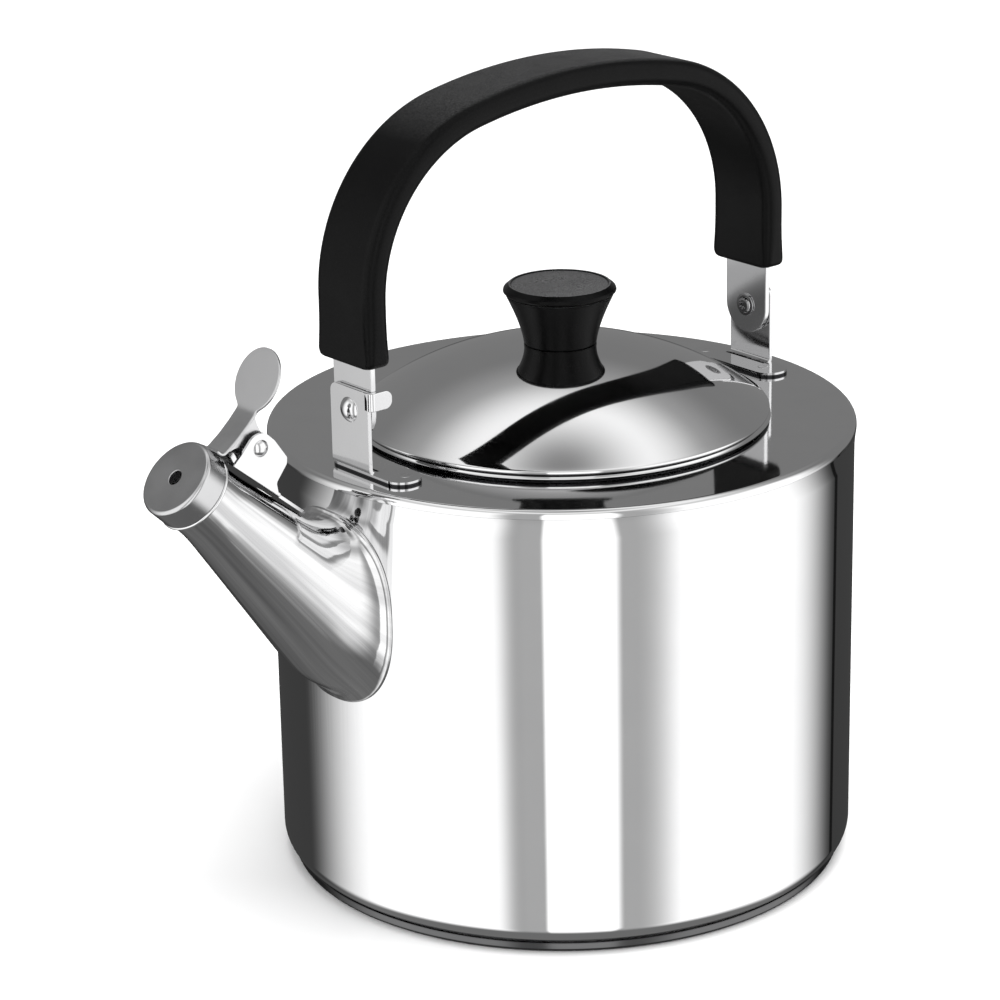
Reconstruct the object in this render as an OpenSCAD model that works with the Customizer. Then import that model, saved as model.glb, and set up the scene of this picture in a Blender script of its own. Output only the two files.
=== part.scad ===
// Stovetop whistling kettle: round pot with a welded spout, a sprung flip-up whistle,
// a lift-off domed lid and a strap handle that folds to one side.
// Millimetres. The origin is the centre of the base's underside, +Z is up, the spout points
// along -X and the handle folds towards +Y.

/* [Body] */
// Outside diameter of the pot wall
body_d = 200; // [190:1:210]
// Height of the flat top plate above the stove
body_h = 156.1; // [150:0.1:165]
// Sheet thickness of the pot and the top plate
sheet_t = 0.8; // [0.6:0.1:1.0]
// Radius of the pot's bottom corner
corner_r = 6.5; // [5:0.5:8]
// Diameter of the disc under the pot
base_d = 193.2; // [180:0.1:195]
// Height of the base sandwich below the pot
base_h = 3.2; // [2.8:0.1:4]

/* [Lid] */
// Diameter over the lid's rolled edge
lid_d = 142.2; // [138:0.1:144]
// Height of the dome above its rolled edge
lid_rise = 23; // [18:0.1:26]
// Diameter of the filling hole inside the collar
hole_d = 134.8; // [130:0.1:136]

/* [Knob] */
// Height of the whole knob above the lid
knob_h = 20.6; // [18:0.1:24]
// Largest diameter of the knob
knob_d = 38.6; // [34:0.1:42]
// Diameter of the knob where it stands on the lid
knob_waist_d = 24.8; // [23:0.2:28]

/* [Handle] */
// Height of the pivot rivets above the stove
pivot_z = 177.3; // [175:0.1:180]
// Height of the top of the grip above the stove
grip_top_z = 278.5; // [270:0.5:285]
// Width of the grip
grip_w = 28.8; // [26:0.2:30]
// Thickness of the grip
grip_t = 9.2; // [8.2:0.1:11]
// Radius of the grip's long edges
grip_edge_r = 3.9; // [1:0.1:4]
// Width of the steel strap and of the bracket ears
strap_w = 20; // [18:0.5:21]
// Thickness of the steel strap
strap_t = 2; // [1.6:0.1:2.4]
// Diameter of the pivot rivets
rivet_d = 5; // [4:0.5:6]

/* [Spout] */
// Radius of the spout at its mouth
mouth_r = 12.4; // [11:0.1:13]
// Upward tilt of the mouth's axis
mouth_tilt = 44; // [40:1:48]
// Half the width of the flange on the pot wall
flange_half_w = 27; // [25:0.5:29]
// Sheet thickness of the spout
spout_t = 0.9; // [0.7:0.1:1.2]

/* [Whistle] */
// Radius of the whistle cap
cap_r = 13.4; // [13:0.1:14.5]
// Length of the whistle cap
cap_l = 8.7; // [8:0.1:10]
// Diameter of the steam hole
steam_hole_d = 5; // [3:0.5:6]
// Width of the lever strip
lever_w = 10; // [9:0.5:11]
// Radius of the thumb pad
pad_r = 10.6; // [9.6:0.1:11]
// Wire diameter of the whistle spring
wire_d = 1.1; // [0.7:0.1:1.3]

/* [Hidden] */

$fn = 96;
fit = 0.05;                     // clearance between pieces that lie against each other
run = 0.06;                     // radial clearance of a turning pin
body_r = body_d / 2;
hole_r = hole_d / 2;
steel = [0.80, 0.81, 0.83];
dark_steel = [0.62, 0.63, 0.65];
plastic = [0.08, 0.08, 0.085];

// Handle outline: a shallow crown arc, two corner arcs and straight legs.
grip_out = 92.5;                // half the width over the grip's legs
crown_r = 209;                  // radius of the crown's outside
corner_out_r = 60.8;            // radius of the corners' outside
corner_x = grip_out - corner_out_r;
crown_a = asin(corner_x / (crown_r - corner_out_r)); // half the angle of the crown arc
crown_z = grip_top_z - crown_r;
corner_z = crown_z + (crown_r - corner_out_r) * cos(crown_a);
grip_end_z = 193.3;             // underside of the grip's ends
strap_x = grip_out - grip_t / 2; // middle of the strap's thickness in the legs

// Handle brackets
ear_in = strap_x + strap_t / 2 + 0.15;
ear_t = 1.5;
ear_out = ear_in + ear_t;
ear_top_z = pivot_z + 7.6;
foot_z = body_h + fit;
foot_in = ear_out - 12.8;
foot_corner_r = 6;

// Lid heights
bead_r = 1.6;
bead_x = hole_r + bead_r;
bead_top = body_h + bead_r;
lid_edge_r = 0.75;
lid_edge_x = lid_d / 2 - lid_edge_r;
lid_edge_z = bead_top + fit + lid_edge_r;
lid_sheet = 0.7;
lid_top = lid_edge_z + lid_edge_r + lid_rise;
dome_r = (lid_edge_x * lid_edge_x + lid_rise * lid_rise) / (2 * lid_rise);
knob_seat_r = 12;               // radius of the flat under the knob

// Mouth of the spout. Its axis runs down from the cap's face into the spout.
ax_x = cos(mouth_tilt);
ax_z = -sin(mouth_tilt);
face_c = [-159.4, 0, 170.2];    // centre of the cap's face
ring_l = 1.3;                   // length of the bead ring
mouth_s = cap_l + fit;          // from the face to the front of the bead ring
pin_x = -131.3;
pin_z = 175.1;
pin_r = 1.5;
ear_half = 7.4;                 // half the width over the whistle bracket's ears
plate_t = 1;

// Point on the mouth's axis, s behind the cap's face, with v up across the axis
function on_axis(s, v) = [face_c[0] + s * ax_x - v * ax_z, face_c[2] + s * ax_z + v * ax_x];
function arc(cx, cz, r, a0, a1, n) =
    [for (i = [0:n]) let (a = a0 + (a1 - a0) * i / n) [cx + r * cos(a), cz + r * sin(a)]];

// Places children, drawn along +Z, on the mouth's axis with +Z pointing out of the spout
module at_mouth(s) {
    p = on_axis(s, 0);
    translate([p[0], 0, p[1]]) rotate([0, mouth_tilt - 90, 0]) children();
}

// ---------------------------------------------------------------- pot
pot_z = base_h + fit;
rim_z = body_h - 2.8;           // seam between the pot wall and the top plate
rim_out = 0.6;                  // how far the wall flares out at that seam

module body_wall() {
    cx = body_r - corner_r;
    cz = pot_z + corner_r;
    flare = [[body_r, rim_z - 7], [body_r + rim_out * 0.2, rim_z - 4],
        [body_r + rim_out * 0.6, rim_z - 1.6], [body_r + rim_out, rim_z - fit]];
    outer = concat([[0, pot_z]], arc(cx, cz, corner_r, -90, 0, 10), flare);
    inner = concat([for (i = [len(flare) - 1:-1:0]) flare[i] - [sheet_t, 0]],
        arc(cx, cz, corner_r - sheet_t, 0, -90, 10), [[0, pot_z + sheet_t]]);
    color(steel) difference() {
        rotate_extrude($fn = 180) polygon(concat(outer, inner));
        translate([-body_r - 5, 0, root_z]) rotate([0, 90, 0]) cylinder(r = pour_hole_r, h = 20);
    }
}

module heat_spreader() {
    color("gainsboro") translate([0, 0, 0.7]) cylinder(r = base_d / 2 - 3, h = base_h - 0.7 - fit);
}

module base_disc() {
    r = base_d / 2;
    t = 0.6;
    color(dark_steel) rotate_extrude($fn = 180) polygon(concat(
        [[0, 0]], arc(r - 1.4, 1.4, 1.4, -90, 0, 5), [[r, base_h], [r - t, base_h]],
        arc(r - 1.4, 1.4, 1.4 - t, 0, -90, 5), [[0, t]]));
}

module top_plate() {
    edge_r = 2.4;
    rim_r = body_r + rim_out;
    t = sheet_t;
    color(steel) rotate_extrude($fn = 180) polygon(concat(
        [[rim_r, rim_z]], arc(rim_r - edge_r, body_h - edge_r, edge_r, 0, 90, 6),
        [[bead_x + bead_r + 1, body_h]], arc(bead_x, body_h, bead_r, 0, 180, 10),
        [[hole_r, body_h - 6.6], [hole_r + t, body_h - 6.6]],
        arc(bead_x, body_h, bead_r - t, 180, 0, 8), [[bead_x + bead_r - t, body_h - t]],
        arc(rim_r - edge_r, body_h - edge_r, edge_r - t, 90, 0, 6), [[rim_r - t, rim_z]]));
}

// ---------------------------------------------------------------- spout
// A loft of rings: round at the mouth, taller and squarer towards the pot, then flared on
// to the flange. Each ring is built between a top point and a bottom point.
ring_n = 40;                    // points round a ring
root_z = 112;                   // middle of the flange and of the pour hole
pour_hole_r = 20;
root_half_h = 32.8;
cone_top = [-113.9, 147.6];     // end of the straight top line
cone_bot = [-115.5, 93.4];      // end of the straight bottom line
cone_half_w = 20.4;
neck_l = 9;
spout_s = mouth_s + ring_l;
mouth_top = on_axis(spout_s, mouth_r);
mouth_bot = on_axis(spout_s, -mouth_r);
neck_top = on_axis(spout_s + neck_l, mouth_r + 0.3);
neck_bot = on_axis(spout_s + neck_l, -mouth_r - 0.3);

function spow(v, e) = sign(v) * pow(abs(v), e);
function mix(a, b, u) = a + (b - a) * u;
// Ring between two points of the middle plane, drawn in by t
function ring_between(top, bot, half_w, e, t) =
    let (c = (top + bot) / 2, h = norm(top - bot) / 2, d = (top - bot) / (2 * h))
    [for (i = [0:ring_n - 1]) let (a = 360 * i / ring_n,
        u = (h - t) * spow(cos(a), 2 / e), w = (half_w - t) * spow(sin(a), 2 / e))
        [c[0] + d[0] * u, -w, c[1] + d[1] * u]];
function cone_ring(u, t) = ring_between(mix(neck_top, cone_top, u), mix(neck_bot, cone_bot, u),
    mix(mouth_r + 0.3, cone_half_w, u), mix(2, 2.2, u), t);
// Ring on the pot wall, drawn in by g, standing d off the wall
function root_ring(g, d) = [for (i = [0:ring_n - 1]) let (a = 360 * i / ring_n, e = 2 / 2.5,
    y = -(flange_half_w - g) * spow(sin(a), e), z = root_z + (root_half_h - g) * spow(cos(a), e),
    r = body_r + d) [-sqrt(r * r - y * y), y, z]];
// Flare: a curve from the end of the cone to the flange, tangent to both
function flare(u, t, g, d) = let (p0 = cone_ring(1, t), q = cone_ring(0.7, t),
    p3 = root_ring(g, d), pin3 = root_ring(g + 6, d + 0.5))
    [for (i = [0:ring_n - 1]) let (
        reach = norm(p3[i] - p0[i]) * 0.45, dir = (p0[i] - q[i]) / norm(p0[i] - q[i]),
        p1 = p0[i] + dir * reach, p2 = mix(p3[i], pin3[i], 0.5))
        pow(1 - u, 3) * p0[i] + 3 * u * pow(1 - u, 2) * p1 + 3 * u * u * (1 - u) * p2
            + pow(u, 3) * p3[i]];
flange_t = 0.8;
skin = [for (r = [
        ring_between(mouth_top, mouth_bot, mouth_r, 2, 0),
        for (u = [0, 0.12, 0.35, 0.6, 0.85, 1]) cone_ring(u, 0),
        for (u = [0.2, 0.4, 0.6, 0.8]) flare(u, 0, 0.4, flange_t + 0.1),
        root_ring(0, flange_t), root_ring(0, 0.1), root_ring(5, 0.1),
        for (u = [0.5]) flare(u, spout_t, 5, 0.1),
        for (u = [1, 0.7, 0.35, 0]) cone_ring(u, spout_t),
        ring_between(mouth_top, mouth_bot, mouth_r, 2, spout_t)]) r];

// Closed tube through a list of rings, the last joined to the first
module ring_tube(rings, n) {
    m = len(rings);
    polyhedron(points = [for (r = rings) for (p = r) p],
        faces = [for (j = [0:m - 1]) for (i = [0:n - 1]) let (
            a = j * n + i, b = j * n + (i + 1) % n,
            c = ((j + 1) % m) * n + (i + 1) % n, d = ((j + 1) % m) * n + i)
            each [[a, b, c], [a, c, d]]]);
}

module spout() {
    color(steel) ring_tube(skin, ring_n);
}

module mouth_ring() {
    color(steel) at_mouth(spout_s - fit) rotate_extrude()
        translate([mouth_r - spout_t, 0]) union() {
            square([1.6, ring_l - 2 * fit]);
            translate([1.6, (ring_l - 2 * fit) / 2]) circle(r = (ring_l - 2 * fit) / 2, $fn = 24);
        }
}

// ---------------------------------------------------------------- whistle bracket
crown_slope = atan2(mouth_top[1] - cone_top[1], cone_top[0] - mouth_top[0]);

// Draws in the bracket's own frame: x runs down the spout's top line, y across, z off it
module on_spout_top() {
    translate([mouth_top[0], 0, mouth_top[1]]) rotate([0, crown_slope, 0]) children();
}
// The pin in that frame
pin_dx = pin_x - mouth_top[0];
pin_dz = pin_z - mouth_top[1];
pin_u = pin_dx * cos(crown_slope) - pin_dz * sin(crown_slope);
pin_v = pin_dx * sin(crown_slope) + pin_dz * cos(crown_slope);
web_v = 0.6;                    // underside of the bracket's web above the top line

module ear_outline() {
    difference() {
        union() {
            translate([pin_u, pin_v]) circle(r = 5);
            polygon([[1.5, web_v], [2.2, web_v + 5], [pin_u - 4.2, pin_v + 2.6],
                [pin_u + 3, pin_v + 4.2], [pin_u + 11, pin_v + 2.4], [pin_u + 12.2, pin_v + 0.6],
                [pin_u + 12.4, pin_v - 6.4], [pin_u + 16.5, web_v]]);
        }
        translate([pin_u, pin_v]) circle(r = pin_r + 0.02, $fn = 48);
        translate([0, web_v - 10]) square([40, 10]);
    }
}

module whistle_bracket() {
    web_l = pin_u + 15;
    color(steel) on_spout_top() {
        translate([1.5, -ear_half, web_v]) cube([web_l, 2 * ear_half, plate_t]);
        translate([web_l, -4.5, web_v]) cube([14, 9, plate_t]);
        translate([web_l + 14, 0, web_v]) cylinder(r = 4.5, h = plate_t);
        for (s = [-1, 1]) translate([0, s * (ear_half - plate_t / 2), 0])
            rotate([90, 0, 0]) linear_extrude(plate_t, center = true) ear_outline();
    }
}

module whistle_pin() {
    color(steel) translate([pin_x, 0, pin_z]) rotate([90, 0, 0]) {
        cylinder(r = pin_r, h = 2 * ear_half + 0.2, center = true, $fn = 48);
        for (s = [-1, 1]) scale([1, 1, s]) translate([0, 0, ear_half + fit]) dome_head(2.8, 1.4);
    }
}

// Cap of a sphere, r wide and h high, standing on z = 0
module dome_head(r, h) {
    ball = (r * r + h * h) / (2 * h);
    intersection() {
        translate([0, 0, h - ball]) sphere(r = ball);
        cylinder(r = r + 1, h = h + 1);
    }
}

// Torsion spring: coils round the pin, one leg down on the bracket, one up behind the lever
coil_r = 4.1;
coil_turns = 5;
coil_steps = 14;
coil_pitch = 1.25;
coil_end = 50;                  // degrees of the last, part turn
leg_up = [[-2.5, 5.8], [-3.9, 3.2]];
leg_down = [[-1.2, -6.0], [0.8, -10.2]];
coil_half = coil_pitch * coil_turns / 2;
coil_path = concat([for (p = leg_up) [p[0], -coil_half, p[1]]],
    [for (i = [0:coil_steps * (coil_turns + coil_end / 360)]) let (a = 180 + 360 * i / coil_steps)
        [coil_r * cos(a), coil_pitch * i / coil_steps - coil_half, coil_r * sin(a)]],
    [for (p = leg_down) [p[0], coil_half + 0.3, p[1]]]);

function unit(v) = v / norm(v);
// Ring of wire round point i of a path
function wire_ring(path, i, r, n) =
    let (p = path[i], d = unit(path[min(i + 1, len(path) - 1)] - path[max(i - 1, 0)]),
        s = unit(cross(d, [0.13, 1, 0.07])), w = cross(s, d))
    [for (k = [0:n - 1]) p + r * (cos(360 * k / n) * s + sin(360 * k / n) * w)];

module wire(path, r, n) {
    m = len(path);
    polyhedron(points = [for (i = [0:m - 1]) each wire_ring(path, i, r, n)],
        faces = concat([[for (k = [0:n - 1]) k]], [[for (k = [n - 1:-1:0]) (m - 1) * n + k]],
            [for (i = [0:m - 2]) for (k = [0:n - 1]) let (a = i * n + k, b = i * n + (k + 1) % n)
                each [[a, a + n, b + n], [a, b + n, b]]]));
}

module whistle_spring() {
    color("dimgray") translate([pin_x, 0, pin_z]) wire(coil_path, wire_d / 2, 6);
}

// ---------------------------------------------------------------- handle brackets
// Ear and foot of a bracket on the +X side, with the foot from y0 to y1
module bracket(y0, y1, tab) {
    w = strap_w / 2;
    bend = 1.2;
    difference() {
        union() {
            translate([ear_in, 0, 0]) rotate([90, 0, 90]) linear_extrude(ear_t) {
                translate([-w, foot_z]) square([2 * w, ear_top_z - 3 - foot_z]);
                translate([-w + 3, foot_z]) square([2 * w - 6, ear_top_z - foot_z]);
                for (s = [-1, 1]) translate([s * (w - 3), ear_top_z - 3]) circle(r = 3);
            }
            translate([0, 0, foot_z]) linear_extrude(ear_t) foot_outline(y0, y1);
            translate([ear_in - bend, -w, foot_z + ear_t]) difference() {
                cube([bend, 2 * w, bend]);
                translate([0, -1, bend]) rotate([-90, 0, 0]) cylinder(r = bend, h = 2 * w + 2);
            }
            if (tab) stop_tab();
        }
        translate([ear_in - 1, 0, pivot_z]) rotate([0, 90, 0])
            cylinder(r = rivet_d / 2 + 0.02, h = ear_t + 2, $fn = 64);
    }
}

module foot_outline(y0, y1) {
    r = foot_corner_r;
    translate([foot_in, y0 + r]) square([ear_out - foot_in, y1 - y0 - 2 * r]);
    for (y = [y0 + r, y1 - r]) {
        translate([foot_in + r, y]) circle(r = r);
        translate([ear_out - r, y]) circle(r = r);
        translate([foot_in + r, y - r]) square([ear_out - foot_in - 2 * r, 2 * r]);
    }
}

// Tab folded round the strap's edge, which stops the handle when it stands upright
tab_z0 = pivot_z + 1.4;
tab_l = 8.8;
module stop_tab() {
    h = ear_top_z - tab_z0;
    w = strap_w / 2 + 0.1;
    translate([ear_in, w - 0.6, tab_z0]) cube([ear_t, 0.6 + ear_t, h]);
    translate([0, w + ear_t, tab_z0]) rotate([90, 0, 0]) linear_extrude(ear_t) {
        translate([ear_out - tab_l + 2.5, 0]) square([tab_l - 2.5, h]);
        translate([ear_out - tab_l, 2.5]) square([tab_l, h - 5]);
        for (z = [2.5, h - 2.5]) translate([ear_out - tab_l + 2.5, z]) circle(r = 2.5);
    }
}

module bracket_front() {
    color(steel) rotate(180) bracket(-13, 25, true);
}

module bracket_rear() {
    color(steel) bracket(-21, 21, false);
}

washer_t = 0.6;
// Pivot rivet on the +X side: dome outside, shank, clinched end with a star recess inside
module rivet() {
    tail_x = strap_x - strap_t / 2 - 0.1 - washer_t - 0.05;
    difference() {
        union() {
            translate([tail_x, 0, pivot_z]) rotate([0, 90, 0])
                cylinder(r = rivet_d / 2, h = ear_out + 0.1 - tail_x, $fn = 64);
            translate([ear_out + fit, 0, pivot_z]) rotate([0, 90, 0]) dome_head(4.2, 2.2);
            translate([tail_x, 0, pivot_z]) rotate([0, -90, 0]) cylinder(r1 = 3, r2 = 2.6, h = 1, $fn = 64);
        }
        for (a = [0:60:120]) translate([tail_x - 1.6, 0, pivot_z]) rotate([a, 0, 0])
            cube([2.4, 0.8, 3.4], center = true);
    }
}

module rivet_front() {
    color(steel) rotate(180) rivet();
}

module rivet_rear() {
    color(steel) rivet();
}

module rivet_washers() {
    color(dark_steel) for (a = [0, 180]) rotate(a)
        translate([strap_x - strap_t / 2 - 0.1, 0, pivot_z]) rotate([0, -90, 0]) difference() {
            cylinder(r = 4, h = washer_t, $fn = 64);
            translate([0, 0, -1]) cylinder(r = rivet_d / 2 + 0.02, h = washer_t + 2, $fn = 64);
        }
}

// ---------------------------------------------------------------- handle
// Stations along the handle, from one leg's end to the other: a point on the middle line and
// the direction out of the arch
corner_steps = 12;
crown_steps = 12;
mid_corner = corner_out_r - grip_t / 2;
mid_crown = crown_r - grip_t / 2;
function turn(c, r, a) = let (d = [cos(a), sin(a)]) [c + r * d, d];
function stations(leg_z) = let (a0 = 90 - crown_a) concat(
    [[[strap_x, leg_z], [1, 0]]],
    [for (i = [0:corner_steps]) turn([corner_x, corner_z], mid_corner, a0 * i / corner_steps)],
    [for (i = [1:crown_steps - 1]) turn([0, crown_z], mid_crown, a0 + 2 * crown_a * i / crown_steps)],
    [for (i = [corner_steps:-1:0]) turn([-corner_x, corner_z], mid_corner,
        180 - a0 * i / corner_steps)],
    [[[-strap_x, leg_z], [-1, 0]]]);

// Ring round a station: a rectangle h out of the arch by w across it, with rounded corners
corner_pts = 4;
function round_ring(st, h, w, r) = [for (q = [0:3]) for (i = [0:corner_pts]) let (
        a = 90 * q + 90 * i / corner_pts, sx = (q == 0 || q == 3) ? 1 : -1, sy = q < 2 ? 1 : -1,
        out = sx * (h / 2 - r) + r * cos(a), side = sy * (w / 2 - r) + r * sin(a))
    [st[0][0] + st[1][0] * out, side, st[0][1] + st[1][1] * out]];

channel_gap = 0.15;             // room round the strap inside the grip
module handle_grip() {
    st = stations(grip_end_z);
    color(plastic) ring_tube(concat(
        [for (p = st) round_ring(p, grip_t, grip_w, grip_edge_r)],
        [for (i = [len(st) - 1:-1:0]) round_ring(st[i], strap_t + 2 * channel_gap,
            strap_w + 2 * channel_gap, 0.3)]), 4 * (corner_pts + 1));
}

module handle_strap() {
    st = stations(pivot_z);
    band = concat([for (p = st) p[0] + p[1] * strap_t / 2],
        [for (i = [len(st) - 1:-1:0]) st[i][0] - st[i][1] * strap_t / 2]);
    color(steel) difference() {
        union() {
            rotate([90, 0, 0]) linear_extrude(strap_w, center = true) polygon(band);
            for (s = [-1, 1]) translate([s * strap_x, 0, pivot_z]) rotate([0, 90, 0])
                cylinder(r = strap_w / 2, h = strap_t, center = true);
        }
        for (s = [-1, 1]) translate([s * strap_x, 0, pivot_z]) rotate([0, 90, 0])
            cylinder(r = rivet_d / 2 + run, h = strap_t + 2, center = true, $fn = 64);
    }
}

// ---------------------------------------------------------------- lid
screw_hole_r = 2.7;             // hole for the knob's screw in the lid
function dome_z(r, d) = lid_top - dome_r + sqrt(pow(dome_r - d, 2) - r * r);

module lid_dome() {
    steps = 16;
    flat = knob_seat_r;
    rim = lid_edge_x - 1;
    outer = [for (i = [0:steps]) let (r = mix(flat, lid_edge_x - 0.1, i / steps)) [r, dome_z(r, 0)]];
    inner = [for (i = [steps:-1:0]) let (r = mix(flat, rim, i / steps)) [r, dome_z(r, lid_sheet)]];
    color(steel) rotate_extrude($fn = 180) polygon(concat([[screw_hole_r, dome_z(flat, 0)]], outer,
        arc(lid_edge_x, lid_edge_z, lid_edge_r, 60, -170, 10), inner,
        [[screw_hole_r, dome_z(flat, lid_sheet)]]));
}

collar_t = 0.7;
collar_out = hole_r - 0.8;
collar_in = collar_out - collar_t;
collar_depth = 9;               // reach of the collar below the top plate
flange_out = bead_x + 0.4;      // edge of the collar's flange, inside the lid's rolled edge
module lid_collar() {
    z0 = body_h - collar_depth;
    z1 = bead_top + fit;
    z2 = z1 + 0.6;
    color(steel) rotate_extrude($fn = 180) {
        translate([collar_in, z0]) square([collar_t, z2 - z0]);
        translate([collar_in, z1]) square([flange_out - collar_in, z2 - z1]);
    }
}

seat_z = dome_z(knob_seat_r, 0) + fit;
knob_top = seat_z + knob_h;
knob_cap_h = 3.6;
knob_seam_z = knob_top - knob_cap_h;   // parting line of the knob's body and its cap
insert_r = 4;
insert_l = 12;
bore_r = 2.5;                   // thread of the brass insert
spigot_r = 6;                   // plug of the cap that sits in the body
spigot_l = 3;

module knob_body() {
    rw = knob_waist_d / 2;
    rt = knob_d / 2 - 0.9;
    n = 9;
    h = knob_seam_z - seat_z;
    color(plastic) rotate_extrude() difference() {
        polygon(concat([[0, seat_z], [rw - 0.4, seat_z], [rw, seat_z + 0.4]],
            [for (i = [1:n]) let (u = i / n) [rw + (rt - rw) * pow(u, 1.42), seat_z + h * u]],
            [[0, knob_seam_z]]));
        translate([0, seat_z - 1]) square([insert_r + 0.02, insert_l + 1.1]);
        translate([0, knob_seam_z - spigot_l - 0.1]) square([spigot_r + 0.1, spigot_l + 1]);
    }
}

module knob_cap() {
    rt = knob_d / 2;
    z0 = knob_seam_z + fit;
    color(plastic) rotate_extrude() union() {
        polygon([[0, z0], [rt - 1, z0], [rt - 0.3, z0 + 0.4], [rt, z0 + 1.1], [rt - 0.3, z0 + 2],
            [rt - 1.3, z0 + 3], [rt - 2.1, knob_top], [rt - 2.6, knob_top - 0.1],
            [rt - 3, knob_top - 0.4], [10, knob_top - 0.2], [0, knob_top - 0.1]]);
        translate([0, z0 - spigot_l]) square([spigot_r, spigot_l + 0.2]);
    }
}

module knob_insert() {
    color("goldenrod") translate([0, 0, seat_z]) difference() {
        cylinder(r = insert_r, h = insert_l);
        translate([0, 0, -1]) cylinder(r = bore_r, h = insert_l + 2, $fn = 64);
    }
}

module knob_screw() {
    under = dome_z(knob_seat_r, lid_sheet) - fit;
    color(dark_steel) {
        translate([0, 0, under - 0.6]) cylinder(r = bore_r - fit, h = insert_l, $fn = 64);
        translate([0, 0, under]) scale([1, 1, -1]) dome_head(5, 2.6);
    }
}

// ---------------------------------------------------------------- whistle
module whistle_cap() {
    edge = 1.3;
    t = 0.7;
    color(steel) at_mouth(cap_l) rotate_extrude() polygon(concat(
        [[cap_r - t, 0], [cap_r, 0]], arc(cap_r - edge, cap_l - edge, edge, 0, 90, 6),
        [[steam_hole_d / 2, cap_l], [steam_hole_d / 2, cap_l - t]],
        arc(cap_r - edge, cap_l - edge, edge - t, 90, 0, 6)));
}

module whistle_disc() {
    color(dark_steel) at_mouth(cap_l) translate([0, 0, 1.6]) difference() {
        cylinder(r = cap_r - 0.7 - fit, h = 0.6);
        translate([0, 0, -1]) cylinder(r = steam_hole_d / 2, h = 3, $fn = 48);
    }
}

// Lever strip: from the cap's top edge, up past the bracket, to the thumb pad
lever_t = 1;
strip_v = cap_r + lever_t + fit;
strip = [on_axis(5, strip_v), on_axis(7.6, strip_v), [-138.9, 178.9], [-134.5, 182.8],
    [-131.2, 186.2]];
pad_tilt = 63;
pad_reach = 10.2;               // from the end of the strip to the middle of the pad
pad_c = strip[4] + pad_reach * [cos(pad_tilt), sin(pad_tilt)];

// Points of a line moved to its lower side, with mitred bends
function across(a, b) = let (d = (b - a) / norm(b - a)) [d[1], -d[0]];
function lowered(line, t) = [for (i = [0:len(line) - 1]) let (
    n0 = across(line[max(i - 1, 0)], line[max(i, 1)]),
    n1 = across(line[min(i, len(line) - 2)], line[min(i + 1, len(line) - 1)]))
    line[i] + t * (n0 + n1) / (1 + n0 * n1)];

module whistle_lever() {
    half = lever_w / 2;
    eye_r = 3.9;
    neck_gap = 0.1;             // how far the neck lies inside the pad's faces
    low = lowered(strip, lever_t);
    color(steel) {
        rotate([90, 0, 0]) linear_extrude(lever_w, center = true)
            polygon(concat(strip, [for (i = [len(low) - 1:-1:0]) low[i]]));
        translate([pad_c[0], 0, pad_c[1]]) rotate([0, -pad_tilt, 0]) translate([0, 0, -lever_t]) {
            cylinder(r = pad_r, h = lever_t);
            translate([-pad_reach - 0.5, neck_gap - half, neck_gap])
                cube([pad_reach, lever_w - 2 * neck_gap, lever_t - 2 * neck_gap]);
        }
        for (s = [-1, 1]) translate([0, s * (half - lever_t / 2 - neck_gap), 0]) rotate([90, 0, 0])
            linear_extrude(lever_t, center = true) difference() {
                union() {
                    polygon([mix(strip[1], low[2], 0.3), mix(strip[2], low[2], 0.6),
                        mix(strip[3], low[3], 0.6), mix(strip[4], low[4], 0.6) - [0.4, 0.4],
                        [pin_x + 0.6, pin_z + eye_r + 3.4],
                        [pin_x + eye_r * 0.8, pin_z + eye_r * 0.6], [pin_x + 1, pin_z - eye_r * 0.96],
                        [pin_x - 3, pin_z - eye_r * 0.64], [pin_x - 5.5, pin_z + 1.4],
                        [pin_x - 8.6, pin_z + 1.2]]);
                    translate([pin_x, pin_z]) circle(r = eye_r, $fn = 48);
                }
                translate([pin_x, pin_z]) circle(r = pin_r + run, $fn = 48);
            }
    }
}

body_wall();
heat_spreader();
base_disc();
top_plate();
spout();
mouth_ring();
whistle_bracket();
whistle_pin();
whistle_spring();
bracket_front();
bracket_rear();
rivet_front();
rivet_rear();
rivet_washers();
handle_strap();
handle_grip();
lid_dome();
lid_collar();
knob_body();
knob_cap();
knob_insert();
knob_screw();
whistle_cap();
whistle_disc();
whistle_lever();
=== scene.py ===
"""Looks of a stovetop whistling kettle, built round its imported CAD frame. Lengths are in metres,
apart from the shapes, which are drawn in millimetres and scaled once."""

import math

import bmesh
import bpy
from mathutils import Matrix, Vector


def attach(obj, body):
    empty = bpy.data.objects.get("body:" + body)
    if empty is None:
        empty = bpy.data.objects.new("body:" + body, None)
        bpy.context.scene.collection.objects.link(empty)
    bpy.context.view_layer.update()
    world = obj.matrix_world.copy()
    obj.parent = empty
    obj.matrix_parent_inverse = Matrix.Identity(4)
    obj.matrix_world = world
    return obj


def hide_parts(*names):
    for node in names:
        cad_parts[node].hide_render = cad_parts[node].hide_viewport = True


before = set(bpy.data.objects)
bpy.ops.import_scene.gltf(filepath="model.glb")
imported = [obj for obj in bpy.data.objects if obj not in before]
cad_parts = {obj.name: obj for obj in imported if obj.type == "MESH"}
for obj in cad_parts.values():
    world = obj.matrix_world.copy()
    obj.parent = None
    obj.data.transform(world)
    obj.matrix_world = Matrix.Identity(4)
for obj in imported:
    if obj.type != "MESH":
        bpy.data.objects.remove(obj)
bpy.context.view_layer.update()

MM = 0.001
scene = bpy.context.scene
TAU = 2 * math.pi

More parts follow.
